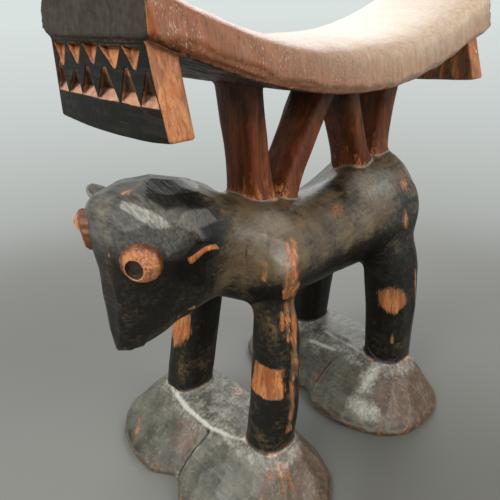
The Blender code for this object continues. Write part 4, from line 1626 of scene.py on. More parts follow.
def head_masks(points, near):
    """Bare nicks of the head, painted highlights on its lit flats, painted shade on the crown's flat and a painted
    shadow under the ear.
    """
    bare = most(
        streak(points, (-76.5, -3.2, 100.5), (-74.5, -2.2, 105.5), 1.1),
        0.5 * patch(points, (-68.1, -2.7, 116.0), (1.8, 1.4, 1.4), 0.6),
        0.6 * streak(points, (-66.5, -7.0, 71.5), (-56.0, -12.0, 79.0), 1.4),
    )
    # Painted highlights on the brow, temple and cheek flats and a painted sheen on the upper front, kept in the dust
    # mask
    dust = most(
        0.85 * facet(points, HEAD_FACETS["brow"], 0.8),
        0.4 * facet(points, HEAD_FACETS["temple"], 1.0),
        0.3 * facet(points, HEAD_FACETS["cheek"]),
        0.4 * streak(points, (-57.5, -17.2, 107.5), (-56.0, -17.6, 104.0), 1.6),
        0.26 * ease((points[:, 2] - 97.0) / 9.0) * ease((-56.0 - points[:, 0]) / 8.0),
    )
    # Painted shadow under the ear, added to the soot mask to make it black there
    ear_shadow = patch(points, (-56.5, -18.5, 94.8), (7.0, 6.0, 6.0), 0.5)
    # Painted shade on the crown's flat: more soot and less of the painted highlight there
    crown = facet(points, HEAD_FACETS["crown"], 1.4)
    soot = body_soot_and_shade(points) + 0.22 * crown + 0.7 * ear_shadow
    return {"bare": bare, "dust": dust * (1.0 - 0.9 * crown), "soot": soot}


def eye_masks(carving, node, points, near):
    """The dark pupil of an eye."""
    spot, way, sign = carving.face_spot(node)
    edge, _, _, pit, _ = carving.eye_plan(tuple((points - spot).T), way, sign)
    return {"soot": ease((0.15 - pit) / 0.4), "dust": ease(-edge / 2.6)}


def ear_masks(carving, node, points, near):
    """The bare rim of an ear, and a painted highlight at the far ear's tip."""
    spot, way, _ = carving.face_spot(node)
    size = carving.face_size
    off = points - spot
    out = off @ np.array(way)
    fore = np.array((-1.0, 0.0, 0.0)) + np.array(way) * way[0]
    side = np.abs(off @ (fore / np.linalg.norm(fore)))
    level = (side / (size.ear_width / 2.0)) ** 2.6 + (np.maximum(out, 0.0) / size.ear_reach) ** 2.6
    shown = 1.0 if node == "left_ear" else 0.0
    rim = shown * ease((level - 0.66) / 0.2) * ease((out - 3.0) / 3.0)
    # The far ear's tip gets a painted highlight in the dust mask
    return {"bare": rim, "soot": 1.4, "dust": 0.0 if node == "left_ear" else 0.7 * ease((out - 9.0) / 4.0)}


def front_knee(points):
    """The worn knee of the near foreleg, on its left two thirds."""
    x, y, z = points.T
    right = 0.748 * (x + 33.8) - 0.663 * (y + 23.2)
    toward = -0.663 * (x + 33.8) - 0.748 * (y + 23.2)
    band = ease((6.6 - np.abs(z - 47.2)) / 2.2)
    return band * ease((4.4 - right) / 4.4) * ease((toward + 3.0) / 3.0)


def leg_masks(node, points, near):
    """Bare knees and streaks of a leg."""
    bare = {
        "front_left_leg": lambda: [
            front_knee(points),
            0.56 * streak(points, (-24.8, -23.6, 73.0), (-27.6, -26.6, 62.0), 3.8),
            0.46 * streak(points, (-28.3, -24.2, 73.0), (-30.8, -26.7, 62.0), 2.4),
            0.55 * streak(points, (-31.0, -24.0, 71.0), (-32.0, -25.1, 66.0), 1.2),
            0.54 * streak(points, (-27.4, -27.4, 62.0), (-32.0, -30.6, 40.0), 3.2),
            0.52 * streak(points, (-32.0, -30.6, 40.0), (-34.0, -30.9, 28.0), 2.8),
        ],
        "front_right_leg": lambda: [
            patch(points, (-41.5, 25.0, 53.0), (7.5, 7.5, 13.0), 0.4),
            0.8 * streak(points, (-41.5, 22.0, 42.0), (-42.0, 18.0, 25.0), 1.3),
        ],
        "rear_left_leg": lambda: [
            0.8 * patch(points, (29.0, -28.0, 51.8), (5.2, 5.6, 5.8), 0.5),
            0.8 * streak(points, (28.8, -29.6, 36.5), (29.6, -29.6, 32.0), 1.4),
            0.6 * streak(points, (40.0, -31.0, 66.0), (42.5, -30.5, 48.0), 1.6),
        ],
        "rear_right_leg": lambda: [patch(points, (30.0, 28.5, 50.0), (5.0, 5.0, 6.0), 0.5)],
    }
    base = "front_base" if node.startswith("front") else "rear_base"
    foot = ease(1.0 - np.abs(near(base) - 0.3) / 1.5)
    return {"bare": most(0.42 * foot, *bare[node]()), "dust": 0.35 * foot, "soot": 1.0}


CRESTS = {
    "front_base": [
        ((-44.5, 30.6, 18.6), (-48.1, 12.4, 18.6)),
        ((-48.1, 12.4, 18.6), (-48.1, -3.3, 18.5)),
        ((-48.1, -3.3, 18.5), (-45.7, -13.0, 20.2)),
        ((-45.7, -13.0, 20.2), (-42.8, -19.7, 20.8)),
        ((-42.8, -19.7, 20.8), (-42.6, -26.7, 21.5)),
    ],
    "rear_base": [
        ((21.5, 7.8, 17.8), (22.9, -4.8, 18.7)),
        ((29.4, 5.9, 20.4), (29.1, -7.2, 20.4)),
        ((29.1, -7.2, 20.4), (27.6, -20.8, 21.0)),
        ((27.6, -20.8, 21.0), (30.2, -30.2, 20.4)),
    ],
}
BROWN_X = {"front_base": -26.0, "rear_base": 34.0}
SCARS = {
    # Start, end and width of the bare scars
    "front_base": [
        ((-62.5, -1.6, 4.0), (-58.0, -0.6, 9.0), 1.3),
        ((-43.8, -31.2, 18.6), (-48.0, -35.5, 12.0), 2.0),
        ((-41.5, -33.0, 18.6), (-45.0, -38.0, 12.0), 2.2),
        ((-38.9, -33.5, 19.2), (-41.5, -40.0, 12.5), 1.6),
        ((-59.3, 30.7, 8.7), (-60.5, 28.5, 7.5), 1.3),
    ],
    "rear_base": [((9.5, -4.1, 6.0), (20.4, -7.2, 16.8), 1.9), ((11.5, -5.4, 8.0), (17.5, -8.0, 13.6), 1.6)],
}


def base_masks(node, points, near):
    """Dusty crests, a brown lower rim, scars, painted highlights on the rear mound's flats and brown with painted
    shade on the near lower side of a mound.
    """
    x, y, z = points.T
    crest = most(*(streak(points, start, end, 1.9) for start, end in CRESTS[node]))
    haze = most(*(streak(points, start, end, 8.0) for start, end in CRESTS[node]))
    scars = most(*(streak(points, *scar) for scar in SCARS[node]))
    # Painted highlights on the rear mound's flats
    flat_highlights = most(
        0.6 * streak(points, (26.0, -25.0, 19.0), (17.5, -26.5, 13.0), 6.0),
        0.52 * patch(points, (11.5, -31.0, 7.5), (5.0, 8.0, 4.0), 0.5),
    )
    rim = 0.36 * ease((3.4 - z) / 3.0)
    spots = [
        patch(points, (-63.6, 26.5, 6.2), (1.8, 1.8, 1.4), 0.7),
        0.35 * patch(points, (-27.5, 2.1, 20.4), (4.0, 6.0, 2.0), 0.7),
    ]
    legs = [leg for leg in LEGS if leg.startswith(node.split("_")[0])]
    foot = most(*(ease(1.0 - np.abs(near(leg) - 0.3) / 1.3) for leg in legs))
    # Brown on the near lower side: brown streaks together with painted shade away from the light
    brown = most(
        patch(points, (BROWN_X[node] + 4.0, -44.0, 8.0), (32.0, 22.0, 18.0), 0.7),
        0.8 * patch(points, (-53.5, 3.6, 14.0), (7.0, 6.0, 7.0), 0.5),
        0.7 * ease((8.0 - z) / 8.0),
        scars,
    )
    return {
        "dust": most(0.95 * crest, 0.3 * haze, 0.5 * foot, 0.3 * ease((z - 16.0) / 3.0), flat_highlights),
        "bare": most(0.55 * scars, rim, 0.3 * foot, *spots),
        "soot": brown,
    }


# Finishes


def wood_fibre():
    """Fibres, pores and growth rings of wood whose grain runs upright."""
    name = "Wood fibre"
    if name in bpy.data.node_groups:
        return bpy.data.node_groups[name]
    tree, n, given, result = new_tree(
        name,
        "ShaderNodeTree",
        [("Vector", "NodeSocketVector", None)],
        [("Fibre", "NodeSocketFloat"), ("Pores", "NodeSocketFloat"), ("Rings", "NodeSocketFloat")],
    )
    long = n.stretch(given["Vector"], (1.0, 1.0, 0.07))
    coarse = n.noise(long, 620.0, 4.0, 0.6)
    fine = n.noise(long, 2400.0, 2.0, 0.5)
    n.feed(result["Fibre"], n.total(n.product(coarse, 0.65), n.product(fine, 0.35)))
    dashes = n.noise(n.stretch(given["Vector"], (1.0, 1.0, 0.14)), 1500.0, 1.0, 0.4)
    n.feed(result["Pores"], n.span(dashes, 0.60, 0.72))
    place = n.add("ShaderNodeSeparateXYZ", {"Vector": given["Vector"]}).outputs
    off_x = n.math("SUBTRACT", place["X"], 0.03)
    off_y = n.math("SUBTRACT", place["Y"], 0.24)
    reach = n.math("SQRT", n.total(n.product(off_x, off_x), n.product(off_y, off_y)))
    wander = n.product(n.noise(given["Vector"], 38.0, 2.0), 0.006)
    wave = n.math("SINE", n.product(n.total(reach, wander), 2600.0))
    n.feed(result["Rings"], n.span(wave, -0.6, 1.0))
    return tree


def ragged_mask():
    """A mask whose edge is broken along the grain."""
    name = "Ragged mask"
    if name in bpy.data.node_groups:
        return bpy.data.node_groups[name]
    inputs = [
        ("Vector", "NodeSocketVector", None),
        ("Mask", "NodeSocketFloat", 0.0),
        ("Spread", "NodeSocketFloat", 0.9),
        ("Softness", "NodeSocketFloat", 0.16),
    ]
    tree, n, given, result = new_tree(name, "ShaderNodeTree", inputs, [("Mask", "NodeSocketFloat")])
    fine = n.noise(n.stretch(given["Vector"], (1.0, 1.0, 0.16)), 900.0, 4.0, 0.65)
    broad = n.noise(n.stretch(given["Vector"], (1.0, 1.0, 0.4)), 260.0, 3.0, 0.6)
    clouds = n.total(n.product(n.span(fine, 0.34, 0.66), 0.5), n.product(n.span(broad, 0.34, 0.66), 0.5))
    shifted = n.total(given["Mask"], n.product(n.math("SUBTRACT", clouds, 0.5), given["Spread"]))
    high = n.total(0.5, given["Softness"])
    low = n.math("SUBTRACT", 0.5, given["Softness"])
    some = n.span(given["Mask"], 0.02, 0.12)
    n.feed(result["Mask"], n.product(n.span(shifted, low, high), some))
    return tree


def knife_marks():
    """Fine scratches in three directions, and the chatter of a blade."""
    name = "Knife marks"
    if name in bpy.data.node_groups:
        return bpy.data.node_groups[name]
    tree, n, given, result = new_tree(
        name,
        "ShaderNodeTree",
        [("Vector", "NodeSocketVector", None)],
        [(label, "NodeSocketFloat") for label in ("Scratches", "Chatter", "Hatch")],
    )
    lines = []
    turns = ((0.5, 0.3, 0.2), (-0.6, 0.5, 1.0), (1.2, -0.4, 0.6))
    for scale, rotation in zip((260.0, 340.0, 300.0), turns):
        field = n.noise(n.stretch(given["Vector"], (1.0, 0.05, 1.0), rotation), scale, 2.0, 0.4)
        gap = n.math("ABSOLUTE", n.math("SUBTRACT", field, 0.5))
        lines.append(n.math("SUBTRACT", 1.0, n.span(gap, 0.0, 0.012)))
    patches = n.span(n.noise(given["Vector"], 90.0, 2.0), 0.45, 0.62)
    strongest = functools.reduce(lambda a, b: n.math("MAXIMUM", a, b), lines)
    n.feed(result["Scratches"], n.product(strongest, patches))
    flutes = n.noise(n.stretch(given["Vector"], (1.0, 1.0, 0.35), (0.3, 0.2, 0.0)), 330.0, 1.0, 0.3)
    n.feed(result["Chatter"], flutes)
    brushed = []
    for scale, rotation in ((760.0, (0.2, 0.1, 0.5)), (900.0, (-0.3, 0.2, -0.9))):
        lines = n.noise(n.stretch(given["Vector"], (1.0, 0.06, 0.6), rotation), scale, 2.0, 0.5)
        where = n.span(n.noise(n.stretch(given["Vector"], (1.0, 1.0, 1.0), rotation), 70.0, 2.0), 0.44, 0.6)
        brushed.append(n.product(n.span(lines, 0.50, 0.64), where))
    n.feed(result["Hatch"], n.math("MAXIMUM", *brushed))
    return tree


class Finish(Nodes):
    """A material under construction, with the shared wood effects at hand."""

    def __init__(self, name):
        self.material = bpy.data.materials.new(name)
        self.material.use_nodes = True
        super().__init__(self.material.node_tree)
        self.shader = self.tree.nodes["Principled BSDF"]
        self.where = self.add("ShaderNodeTexCoord").outputs["Object"]
        self.wood = self.group(wood_fibre())
        self.knife = self.group(knife_marks())

    def group(self, tree, **feeds):
        """The outputs of a shared effect."""
        node = self.add("ShaderNodeGroup", node_tree=tree)
        for key, value in {"Vector": self.where, **feeds}.items():
            self.feed(node.inputs[key], value)
        return node.outputs

    def ragged(self, name, spread=1.0, softness=0.14):
        """An attribute of the mesh as a ragged mask."""
        feeds = {"Mask": self.mask(name), "Spread": spread, "Softness": softness}
        return self.group(ragged_mask(), **feeds)["Mask"]

    def worn(self, low, high, scale=650.0):
        """A broken mask along the ridges."""
        clouds = self.product(self.math("SUBTRACT", self.noise(self.where, scale, 4.0), 0.5), 1.1)
        return self.span(self.total(self.mask("ridge"), clouds), low, high)

    def nook_shaded(self, tone, looks, amount):
        """A tone darkened towards char in the nooks: painted shade."""
        nooks = self.span(self.mask("ridge"), -0.45, -1.0)
        return self.blend(self.product(nooks, amount), tone, looks.char)

    def bare_wood(self, looks):
        """Freshly cut wood with paler fibres and dark pores."""
        streaks = self.span(self.wood["Fibre"], 0.42, 0.58)
        cut = self.blend(streaks, looks.bare, looks.bare_pale)
        dark = self.noise(self.stretch(self.where, (1.0, 1.0, 0.1)), 340.0, 3.0, 0.6)
        cut = self.blend(self.product(self.span(dark, 0.46, 0.62), 0.8), cut, looks.brown)
        return self.blend(self.product(self.wood["Pores"], 0.5), cut, looks.smoke)

    def close(self, tone, roughness, heights):
        """Feeds the shader with a colour, a roughness and a bump."""
        self.feed(self.shader.inputs["Base Color"], tone)
        self.feed(self.shader.inputs["Roughness"], roughness)
        bump = self.add("ShaderNodeBump", {"Strength": 0.6, "Distance": 0.00025, "Height": heights})
        self.feed(self.shader.inputs["Normal"], bump.outputs["Normal"])
        return self.material


def burnt_wood(name, looks):
    """Charred wood that shines on its flats, brown where the soot is thin and bare in patches, with painted
    highlights from the dust mask and painted shade from the soot mask and the nooks.
    """
    f = Finish(name)
    soft = f.noise(f.where, 42.0, 2.0, 0.5)
    clouds = f.noise(f.stretch(f.where, (1.0, 1.0, 0.7)), 110.0, 3.0, 0.55)
    fine = f.noise(f.where, 900.0, 4.0, 0.7)
    fibre = f.wood["Fibre"]
    rubbed = f.noise(f.stretch(f.where, (0.12, 1.0, 1.0), (0.3, 0.5, 0.4)), 700.0, 3.0, 0.6)
    # The soot mask also carries painted shade, as under the belly and the ear
    soot = f.mask("soot")
    parts = ((soft, 1.4), (clouds, 1.6), (fine, 0.9), (rubbed, 1.1))
    shade = f.total(*(f.product(noise, weight) for noise, weight in parts))
    thin = f.math("SUBTRACT", f.total(shade, -1.5), soot)
    tone = f.blend(f.span(thin, 0.02, 0.95), looks.char, looks.umber)
    tint = f.span(f.noise(f.where, 70.0, 3.0, 0.6), 0.50, 0.66)
    tone = f.blend(f.product(tint, f.span(soot, 1.0, 0.4, 0.0, 0.6)), tone, looks.smoke)
    worked = f.span(soot, 1.0, 0.7, 0.10, 0.35)
    tone = f.blend(f.product(f.knife["Hatch"], worked), tone, looks.film)
    tone = f.blend(f.product(f.knife["Scratches"], worked), tone, looks.worn)
    ragged = f.product(f.math("SUBTRACT", f.noise(f.where, 260.0, 3.0, 0.6), 0.5), 0.9)
    halo = f.span(f.total(f.mask("bare"), ragged), 0.15, 0.7)
    tone = f.blend(f.product(halo, f.span(f.mask("bare"), 0.02, 0.2), 0.9), tone, looks.worn)
    bare = f.ragged("bare", 1.0, 0.2)
    tone = f.blend(f.product(bare, 0.9), tone, f.bare_wood(looks))
    brushed = f.noise(f.stretch(f.where, (1.0, 0.12, 0.5), (0.2, 0.1, 0.9)), 1700.0, 3.0, 0.6)
    uneven = f.span(clouds, 0.32, 0.6, 0.75, 1.0)
    # The dust mask also carries painted highlights, as on the head's flats
    dust = f.product(f.mask("dust"), f.span(brushed, 0.36, 0.62, 0.5, 1.0), uneven)
    tone = f.blend(f.product(dust, 0.6), tone, looks.dust)
    # Painted shade in the nooks
    tone = f.nook_shaded(tone, looks, 0.5)
    rough = f.span(fine, 0.3, 0.7, 0.30, 0.46)
    rough = f.total(rough, f.product(bare, 0.16))
    heights = f.total(
        f.product(fibre, 0.3),
        f.product(fine, 0.35),
        f.product(rubbed, 0.3),
        f.product(f.knife["Chatter"], 0.3),
        f.product(f.knife["Hatch"], 0.3),
        f.product(f.knife["Scratches"], -0.25),
        f.product(bare, -0.45),
    )
    f.feed(f.shader.inputs["Specular IOR Level"], f.span(soot, 0.5, 1.3, 0.42, 0.06))
    return f.close(tone, rough, heights)


def polished_wood(name, looks):
    """Oiled brown wood with pale flecks, faint rings, sooted ends, painted shade underneath and a painted sheen on
    the rear top.
    """
    f = Finish(name)
    tone = f.blend(f.product(f.span(f.wood["Fibre"], 0.38, 0.64), 0.4), looks.brown, looks.brown_light)
    tone = f.blend(f.product(f.span(f.wood["Rings"], 0.2, 1.0), 0.2), tone, looks.smoke)
    tone = f.blend(f.product(f.span(f.noise(f.where, 45.0, 3.0), 0.42, 0.7), 0.35), tone, looks.strut)
    tone = f.blend(f.product(f.wood["Pores"], 0.5), tone, looks.smoke)
    flecks = f.noise(f.stretch(f.where, (1.0, 1.0, 0.5)), 2500.0, 2.0, 0.5)
    flecked = f.span(f.noise(f.where, 40.0, 2.0), 0.36, 0.6)
    tone = f.blend(f.product(f.span(flecks, 0.58, 0.68), flecked, 0.4), tone, looks.dust)
    # Painted sheen on the rear top, from the dust mask
    tone = f.blend(f.product(f.mask("dust"), f.span(f.wood["Fibre"], 0.3, 0.7, 0.45, 0.8)), tone, looks.haze)
    tone = f.blend(f.product(f.worn(0.4, 0.9), 0.35), tone, looks.bare_pale)
    tone = f.blend(f.product(f.knife["Scratches"], 0.22), tone, looks.bare_pale)
    # The soot mask darkens the burnt ends and, as painted shade, the underside
    soot = f.ragged("soot", 0.8, 0.25)
    dark = f.blend(f.span(f.noise(f.where, 420.0, 5.0, 0.7), 0.3, 0.7, 0.1, 0.4), looks.char, looks.film)
    tone = f.blend(f.product(soot, 0.95), tone, dark)
    bare = f.ragged("bare")
    tone = f.blend(f.product(bare, 0.85), tone, f.bare_wood(looks))
    rough = f.span(f.wood["Fibre"], 0.3, 0.7, 0.36, 0.5)
    rough = f.total(rough, f.product(soot, 0.12), f.product(bare, 0.12))
    heights = f.total(
        f.product(f.wood["Fibre"], 0.45),
        f.product(f.wood["Pores"], -0.4),
        f.product(f.knife["Chatter"], 0.5),
        f.product(f.knife["Scratches"], -0.2),
    )
    f.feed(f.shader.inputs["Specular IOR Level"], f.span(soot, 0.0, 1.0, 0.4, 0.14))
    return f.close(tone, rough, heights)


def strut_wood(name, looks):
    """Brown wood that is darker towards the top."""
    f = Finish(name)
    streaks = f.noise(f.stretch(f.where, (1.0, 1.0, 0.05)), 300.0, 4.0, 0.65)
    tone = f.blend(f.span(streaks, 0.28, 0.78), looks.strut, looks.brown)
    tone = f.blend(f.product(f.span(f.wood["Fibre"], 0.52, 0.40), 0.4), tone, looks.strut)
    tone = f.blend(f.product(f.wood["Pores"], 0.5), tone, looks.char)
    tone = f.blend(f.product(f.worn(0.4, 0.9), 0.4), tone, looks.bare)
    soot = f.ragged("soot", 0.9, 0.35)
    dark = f.blend(f.span(f.noise(f.where, 120.0, 4.0), 0.4, 0.7), looks.char, looks.smoke)
    tone = f.blend(f.product(soot, 0.75), tone, dark)
    bare = f.ragged("bare")
    tone = f.blend(f.product(bare, 0.8), tone, f.bare_wood(looks))
    rough = f.total(f.span(f.wood["Fibre"], 0.3, 0.7, 0.42, 0.58), f.product(bare, 0.1))
    heights = f.total(
        f.product(f.wood["Fibre"], 0.6),
        f.product(streaks, 0.6),
        f.product(f.wood["Pores"], -0.3),
        f.product(f.knife["Chatter"], 0.4),
    )
    f.feed(f.shader.inputs["Specular IOR Level"], 0.2)
    return f.close(tone, rough, heights)


def dusty_wood(name, looks):
    """Grey dusty wood with pale crests, brown smudges and a brown lower rim."""
    f = Finish(name)
    clouds = f.noise(f.where, 95.0, 6.0, 0.68)
    fine = f.noise(f.where, 800.0, 4.0, 0.7)
    tone = f.blend(f.span(clouds, 0.30, 0.66), looks.grime, looks.mound)
    tone = f.blend(f.product(f.span(fine, 0.48, 0.32), 0.4), tone, looks.char)
    tone = f.blend(f.product(f.span(fine, 0.56, 0.70), 0.16), tone, looks.dust)
    # The soot mask holds the brown, which on the near lower side is partly painted shade
    brown = f.ragged("soot", 1.0, 0.45)
    earth = f.blend(f.span(f.wood["Fibre"], 0.47, 0.68), looks.smoke, looks.worn)
    tone = f.blend(f.product(brown, 0.85), tone, earth)
    tone = f.blend(f.product(f.worn(0.4, 1.0), 0.4), tone, looks.dust)
    tone = f.blend(f.product(f.knife["Hatch"], 0.06), tone, looks.dust)
    tone = f.blend(f.product(f.knife["Scratches"], 0.12), tone, looks.dust)
    bare = f.ragged("bare", 1.0, 0.2)
    tone = f.blend(f.product(bare, 0.75), tone, f.bare_wood(looks))
    # The dust mask also carries painted highlights on the rear mound's flats
    dust = f.ragged("dust", 0.5, 0.45)
    tone = f.blend(f.product(dust, 0.9), tone, looks.dust)
    # Painted shade in the nooks
    tone = f.nook_shaded(tone, looks, 0.85)
    rough = f.total(f.span(fine, 0.3, 0.7, 0.32, 0.52), f.product(dust, 0.2))
    heights = f.total(
        f.product(f.wood["Fibre"], 0.3),
        f.product(fine, 0.5),
        f.product(f.knife["Chatter"], 0.4),
        f.product(f.knife["Scratches"], -0.3),
        f.product(clouds, 0.3),
    )
    f.feed(f.shader.inputs["Specular IOR Level"], 0.42)
    return f.close(tone, rough, heights)


def bare_finish(name, looks):
    """Bare orange wood with a sooted pit."""
    f = Finish(name)
    tone = f.bare_wood(looks)
    tone = f.blend(f.product(f.span(f.noise(f.where, 300.0, 3.0), 0.42, 0.66), 0.55), tone, looks.brown)
    tone = f.blend(f.product(f.worn(0.3, 0.8), 0.6), tone, looks.bare_pale)
    specks = f.noise(f.where, 1300.0, 3.0, 0.6)
    tone = f.blend(f.product(f.span(specks, 0.42, 0.6), f.mask("dust"), 0.9), tone, looks.bare_pale)
    sheen = f.span(f.noise(f.where, 2300.0, 3.0, 0.6), 0.5, 0.66)
    tone = f.blend(f.product(sheen, f.mask("dust"), 0.22), tone, looks.dust)
    torn = f.total(f.mask("dust"), f.product(f.math("SUBTRACT", f.noise(f.where, 700.0, 3.0, 0.6), 0.5), 1.2))
    tone = f.blend(f.span(torn, 0.05, 0.4, 0.85, 0.0), tone, looks.strut)
    soot = f.ragged("soot", 0.5, 0.2)
    tone = f.blend(f.product(soot, 0.95), tone, looks.char)
    heights = f.total(f.product(f.wood["Fibre"], 0.6), f.product(f.knife["Chatter"], 0.5))
    return f.close(tone, f.span(f.wood["Fibre"], 0.3, 0.7, 0.45, 0.6), heights)


FINISHES = {
    "polished_wood": polished_wood,
    "strut_wood": strut_wood,
    "burnt_wood": burnt_wood,
    "dusty_wood": dusty_wood,
    "bare_wood": bare_finish,
}


def finish(slot):
    """The finish of a slot, made when it is first wanted."""
    name = "Headrest " + slot.replace("_", " ")
    if name not in bpy.data.materials:
        FINISHES[slot](name, bpy.context.scene.headrest_finish)
    return bpy.data.materials[name]


# Operators


class HEADREST_OT_pillow(bpy.types.Operator):
    """Carve the dished pillow"""

    bl_idname = "headrest.pillow"
    bl_label = "Pillow"
    bl_options = {"REGISTER", "UNDO"}

    def execute(self, context):
        carving = Carving(context.scene)
        strokes = pillow_strokes(carving)
        block, whole, forms = worked("pillow", carving.pillow_size.step, NEIGHBOURS["pillow"], strokes)
        field = part_off(whole, forms, "pillow")
        masks = functools.partial(pillow_masks, carving)
        make_piece("pillow", "polished_wood", block, field, masks, forms)
        return {"FINISHED"}


class HEADREST_OT_lugs(bpy.types.Operator):
    """Carve the two lugs with their chip cuts"""

    bl_idname = "headrest.lugs"
    bl_label = "Lugs"
    bl_options = {"REGISTER", "UNDO"}

    def execute(self, context):
        size = Carving(context.scene).lug_size
        for node in LUGS:
            block, whole, forms = worked(node, size.step, NEIGHBOURS["lug"], [])
            cut = np.maximum(whole, -chip_cuts(block, node, size))
            masks = functools.partial(lug_masks, node, size, block, whole)
            make_piece(node, "burnt_wood", block, part_off(cut, forms, node), masks, forms)
        return {"FINISHED"}


class HEADREST_OT_struts(bpy.types.Operator):
    """Carve the four struts"""

    bl_idname = "headrest.struts"
    bl_label = "Struts"
    bl_options = {"REGISTER", "UNDO"}

    def execute(self, context):
        size = Carving(context.scene).strut_size
        strokes = random_strokes(context.scene.name)
        for node in STRUTS:
            block, whole, forms = worked(node, size.step, NEIGHBOURS["strut"], strokes)
            masks = functools.partial(strut_masks, node)
            make_piece(node, "strut_wood", block, part_off(whole, forms, node), masks, forms)
        return {"FINISHED"}


class HEADREST_OT_torso(bpy.types.Operator):
    """Carve the animal's torso"""

    bl_idname = "headrest.torso"
    bl_label = "Torso"
    bl_options = {"REGISTER", "UNDO"}

    def execute(self, context):
        size = Carving(context.scene).body_size
        strokes = random_strokes(context.scene.name)
        block, whole, forms = worked("torso", size.step, NEIGHBOURS["torso"], strokes)
        make_piece("torso", "burnt_wood", block, part_off(whole, forms, "torso"), torso_masks, forms)
        return {"FINISHED"}


class HEADREST_OT_head(bpy.types.Operator):
    """Carve the animal's head"""

    bl_idname = "headrest.head"
    bl_label = "Head"
    bl_options = {"REGISTER", "UNDO"}

    def execute(self, context):
        size = Carving(context.scene).body_size
        strokes = random_strokes(context.scene.name)
        block, whole, forms = worked("head", size.head_step, NEIGHBOURS["head"], strokes)
        make_piece("head", "burnt_wood", block, part_off(whole, forms, "head"), head_masks, forms)
        return {"FINISHED"}


class HEADREST_OT_face(bpy.types.Operator):
    """Carve the eyes and ears"""

    bl_idname = "headrest.face"
    bl_label = "Eyes and ears"
    bl_options = {"REGISTER", "UNDO"}

    def execute(self, context):
        carving = Carving(context.scene)
        step = carving.face_size.step
        for node in EYES:
            room = ROOM.get(node, MARGIN)
            block = Block(BOX[node][0] - room, BOX[node][1] + room, step)
            field = np.maximum(carving.eye(block, node), -carving.head(block) - 2.5)
            make_piece(node, "bare_wood", block, field, functools.partial(eye_masks, carving, node), {})
        for node in EARS:
            room = ROOM.get(node, MARGIN)
            block = Block(BOX[node][0] - room, BOX[node][1] + room, step)
            whole, forms = whole_of(carving, block, ["head", node])
            field = part_off(whole, forms, node)
            make_piece(node, "burnt_wood", block, field, functools.partial(ear_masks, carving, node), forms)
        return {"FINISHED"}


class HEADREST_OT_legs(bpy.types.Operator):
    """Carve the four legs"""

    bl_idname = "headrest.legs"
    bl_label = "Legs"
    bl_options = {"REGISTER", "UNDO"}

    def execute(self, context):
        size = Carving(context.scene).leg_size
        strokes = random_strokes(context.scene.name)
        for node in LEGS:
            block, whole, forms = worked(node, size.step, NEIGHBOURS["leg"], strokes)
            masks = functools.partial(leg_masks, node)
            make_piece(node, "burnt_wood", block, part_off(whole, forms, node), masks, forms)
        return {"FINISHED"}


class HEADREST_OT_bases(bpy.types.Operator):
    """Carve the two mounds"""

    bl_idname = "headrest.bases"
    bl_label = "Mounds"
    bl_options = {"REGISTER", "UNDO"}

    def execute(self, context):
        size = Carving(context.scene).base_size
        strokes = random_strokes(context.scene.name)
        for node in BASES:
            block, whole, forms = worked(node, size.step, NEIGHBOURS["base"], strokes)
            field = np.maximum(part_off(whole, forms, node), -block.z)
            make_piece(node, "dusty_wood", block, field, functools.partial(base_masks, node), forms)
        return {"FINISHED"}


class HEADREST_OT_stage(bpy.types.Operator):
    """Set the floor, the lights and the camera"""

    bl_idname = "headrest.stage"
    bl_label = "Stage"
    bl_options = {"REGISTER", "UNDO"}

    def execute(self, context):
        scene = context.scene
        stage = scene.headrest_stage
        lay_floor(scene, stage)
        middle = Vector((0.0, 0.0, 0.09))
        lights = {
            # Place, size and power of each soft box
            "key": ((0.12, -0.62, 0.42), 0.45, stage.key),
            "top": ((-0.46, 0.02, 0.55), 0.40, stage.top),
            "front": ((-0.45, -0.45, 0.30), 0.40, stage.front),
            "rear": ((0.50, 0.36, 0.46), 0.42, stage.rear),
        }
        for name, (spot, size, power) in lights.items():
            lamp = bpy.data.lights.new(name, "AREA")
            lamp.energy = power
            lamp.size = size
            holder = bpy.data.objects.new(name, lamp)
            scene.collection.objects.link(holder)
            holder.location = spot
            holder.rotation_euler = (middle - Vector(spot)).to_track_quat("-Z", "Y").to_euler()
        light_world(scene, stage)
        place_camera(scene)
        scene.view_settings.view_transform = "Standard"
        return {"FINISHED"}


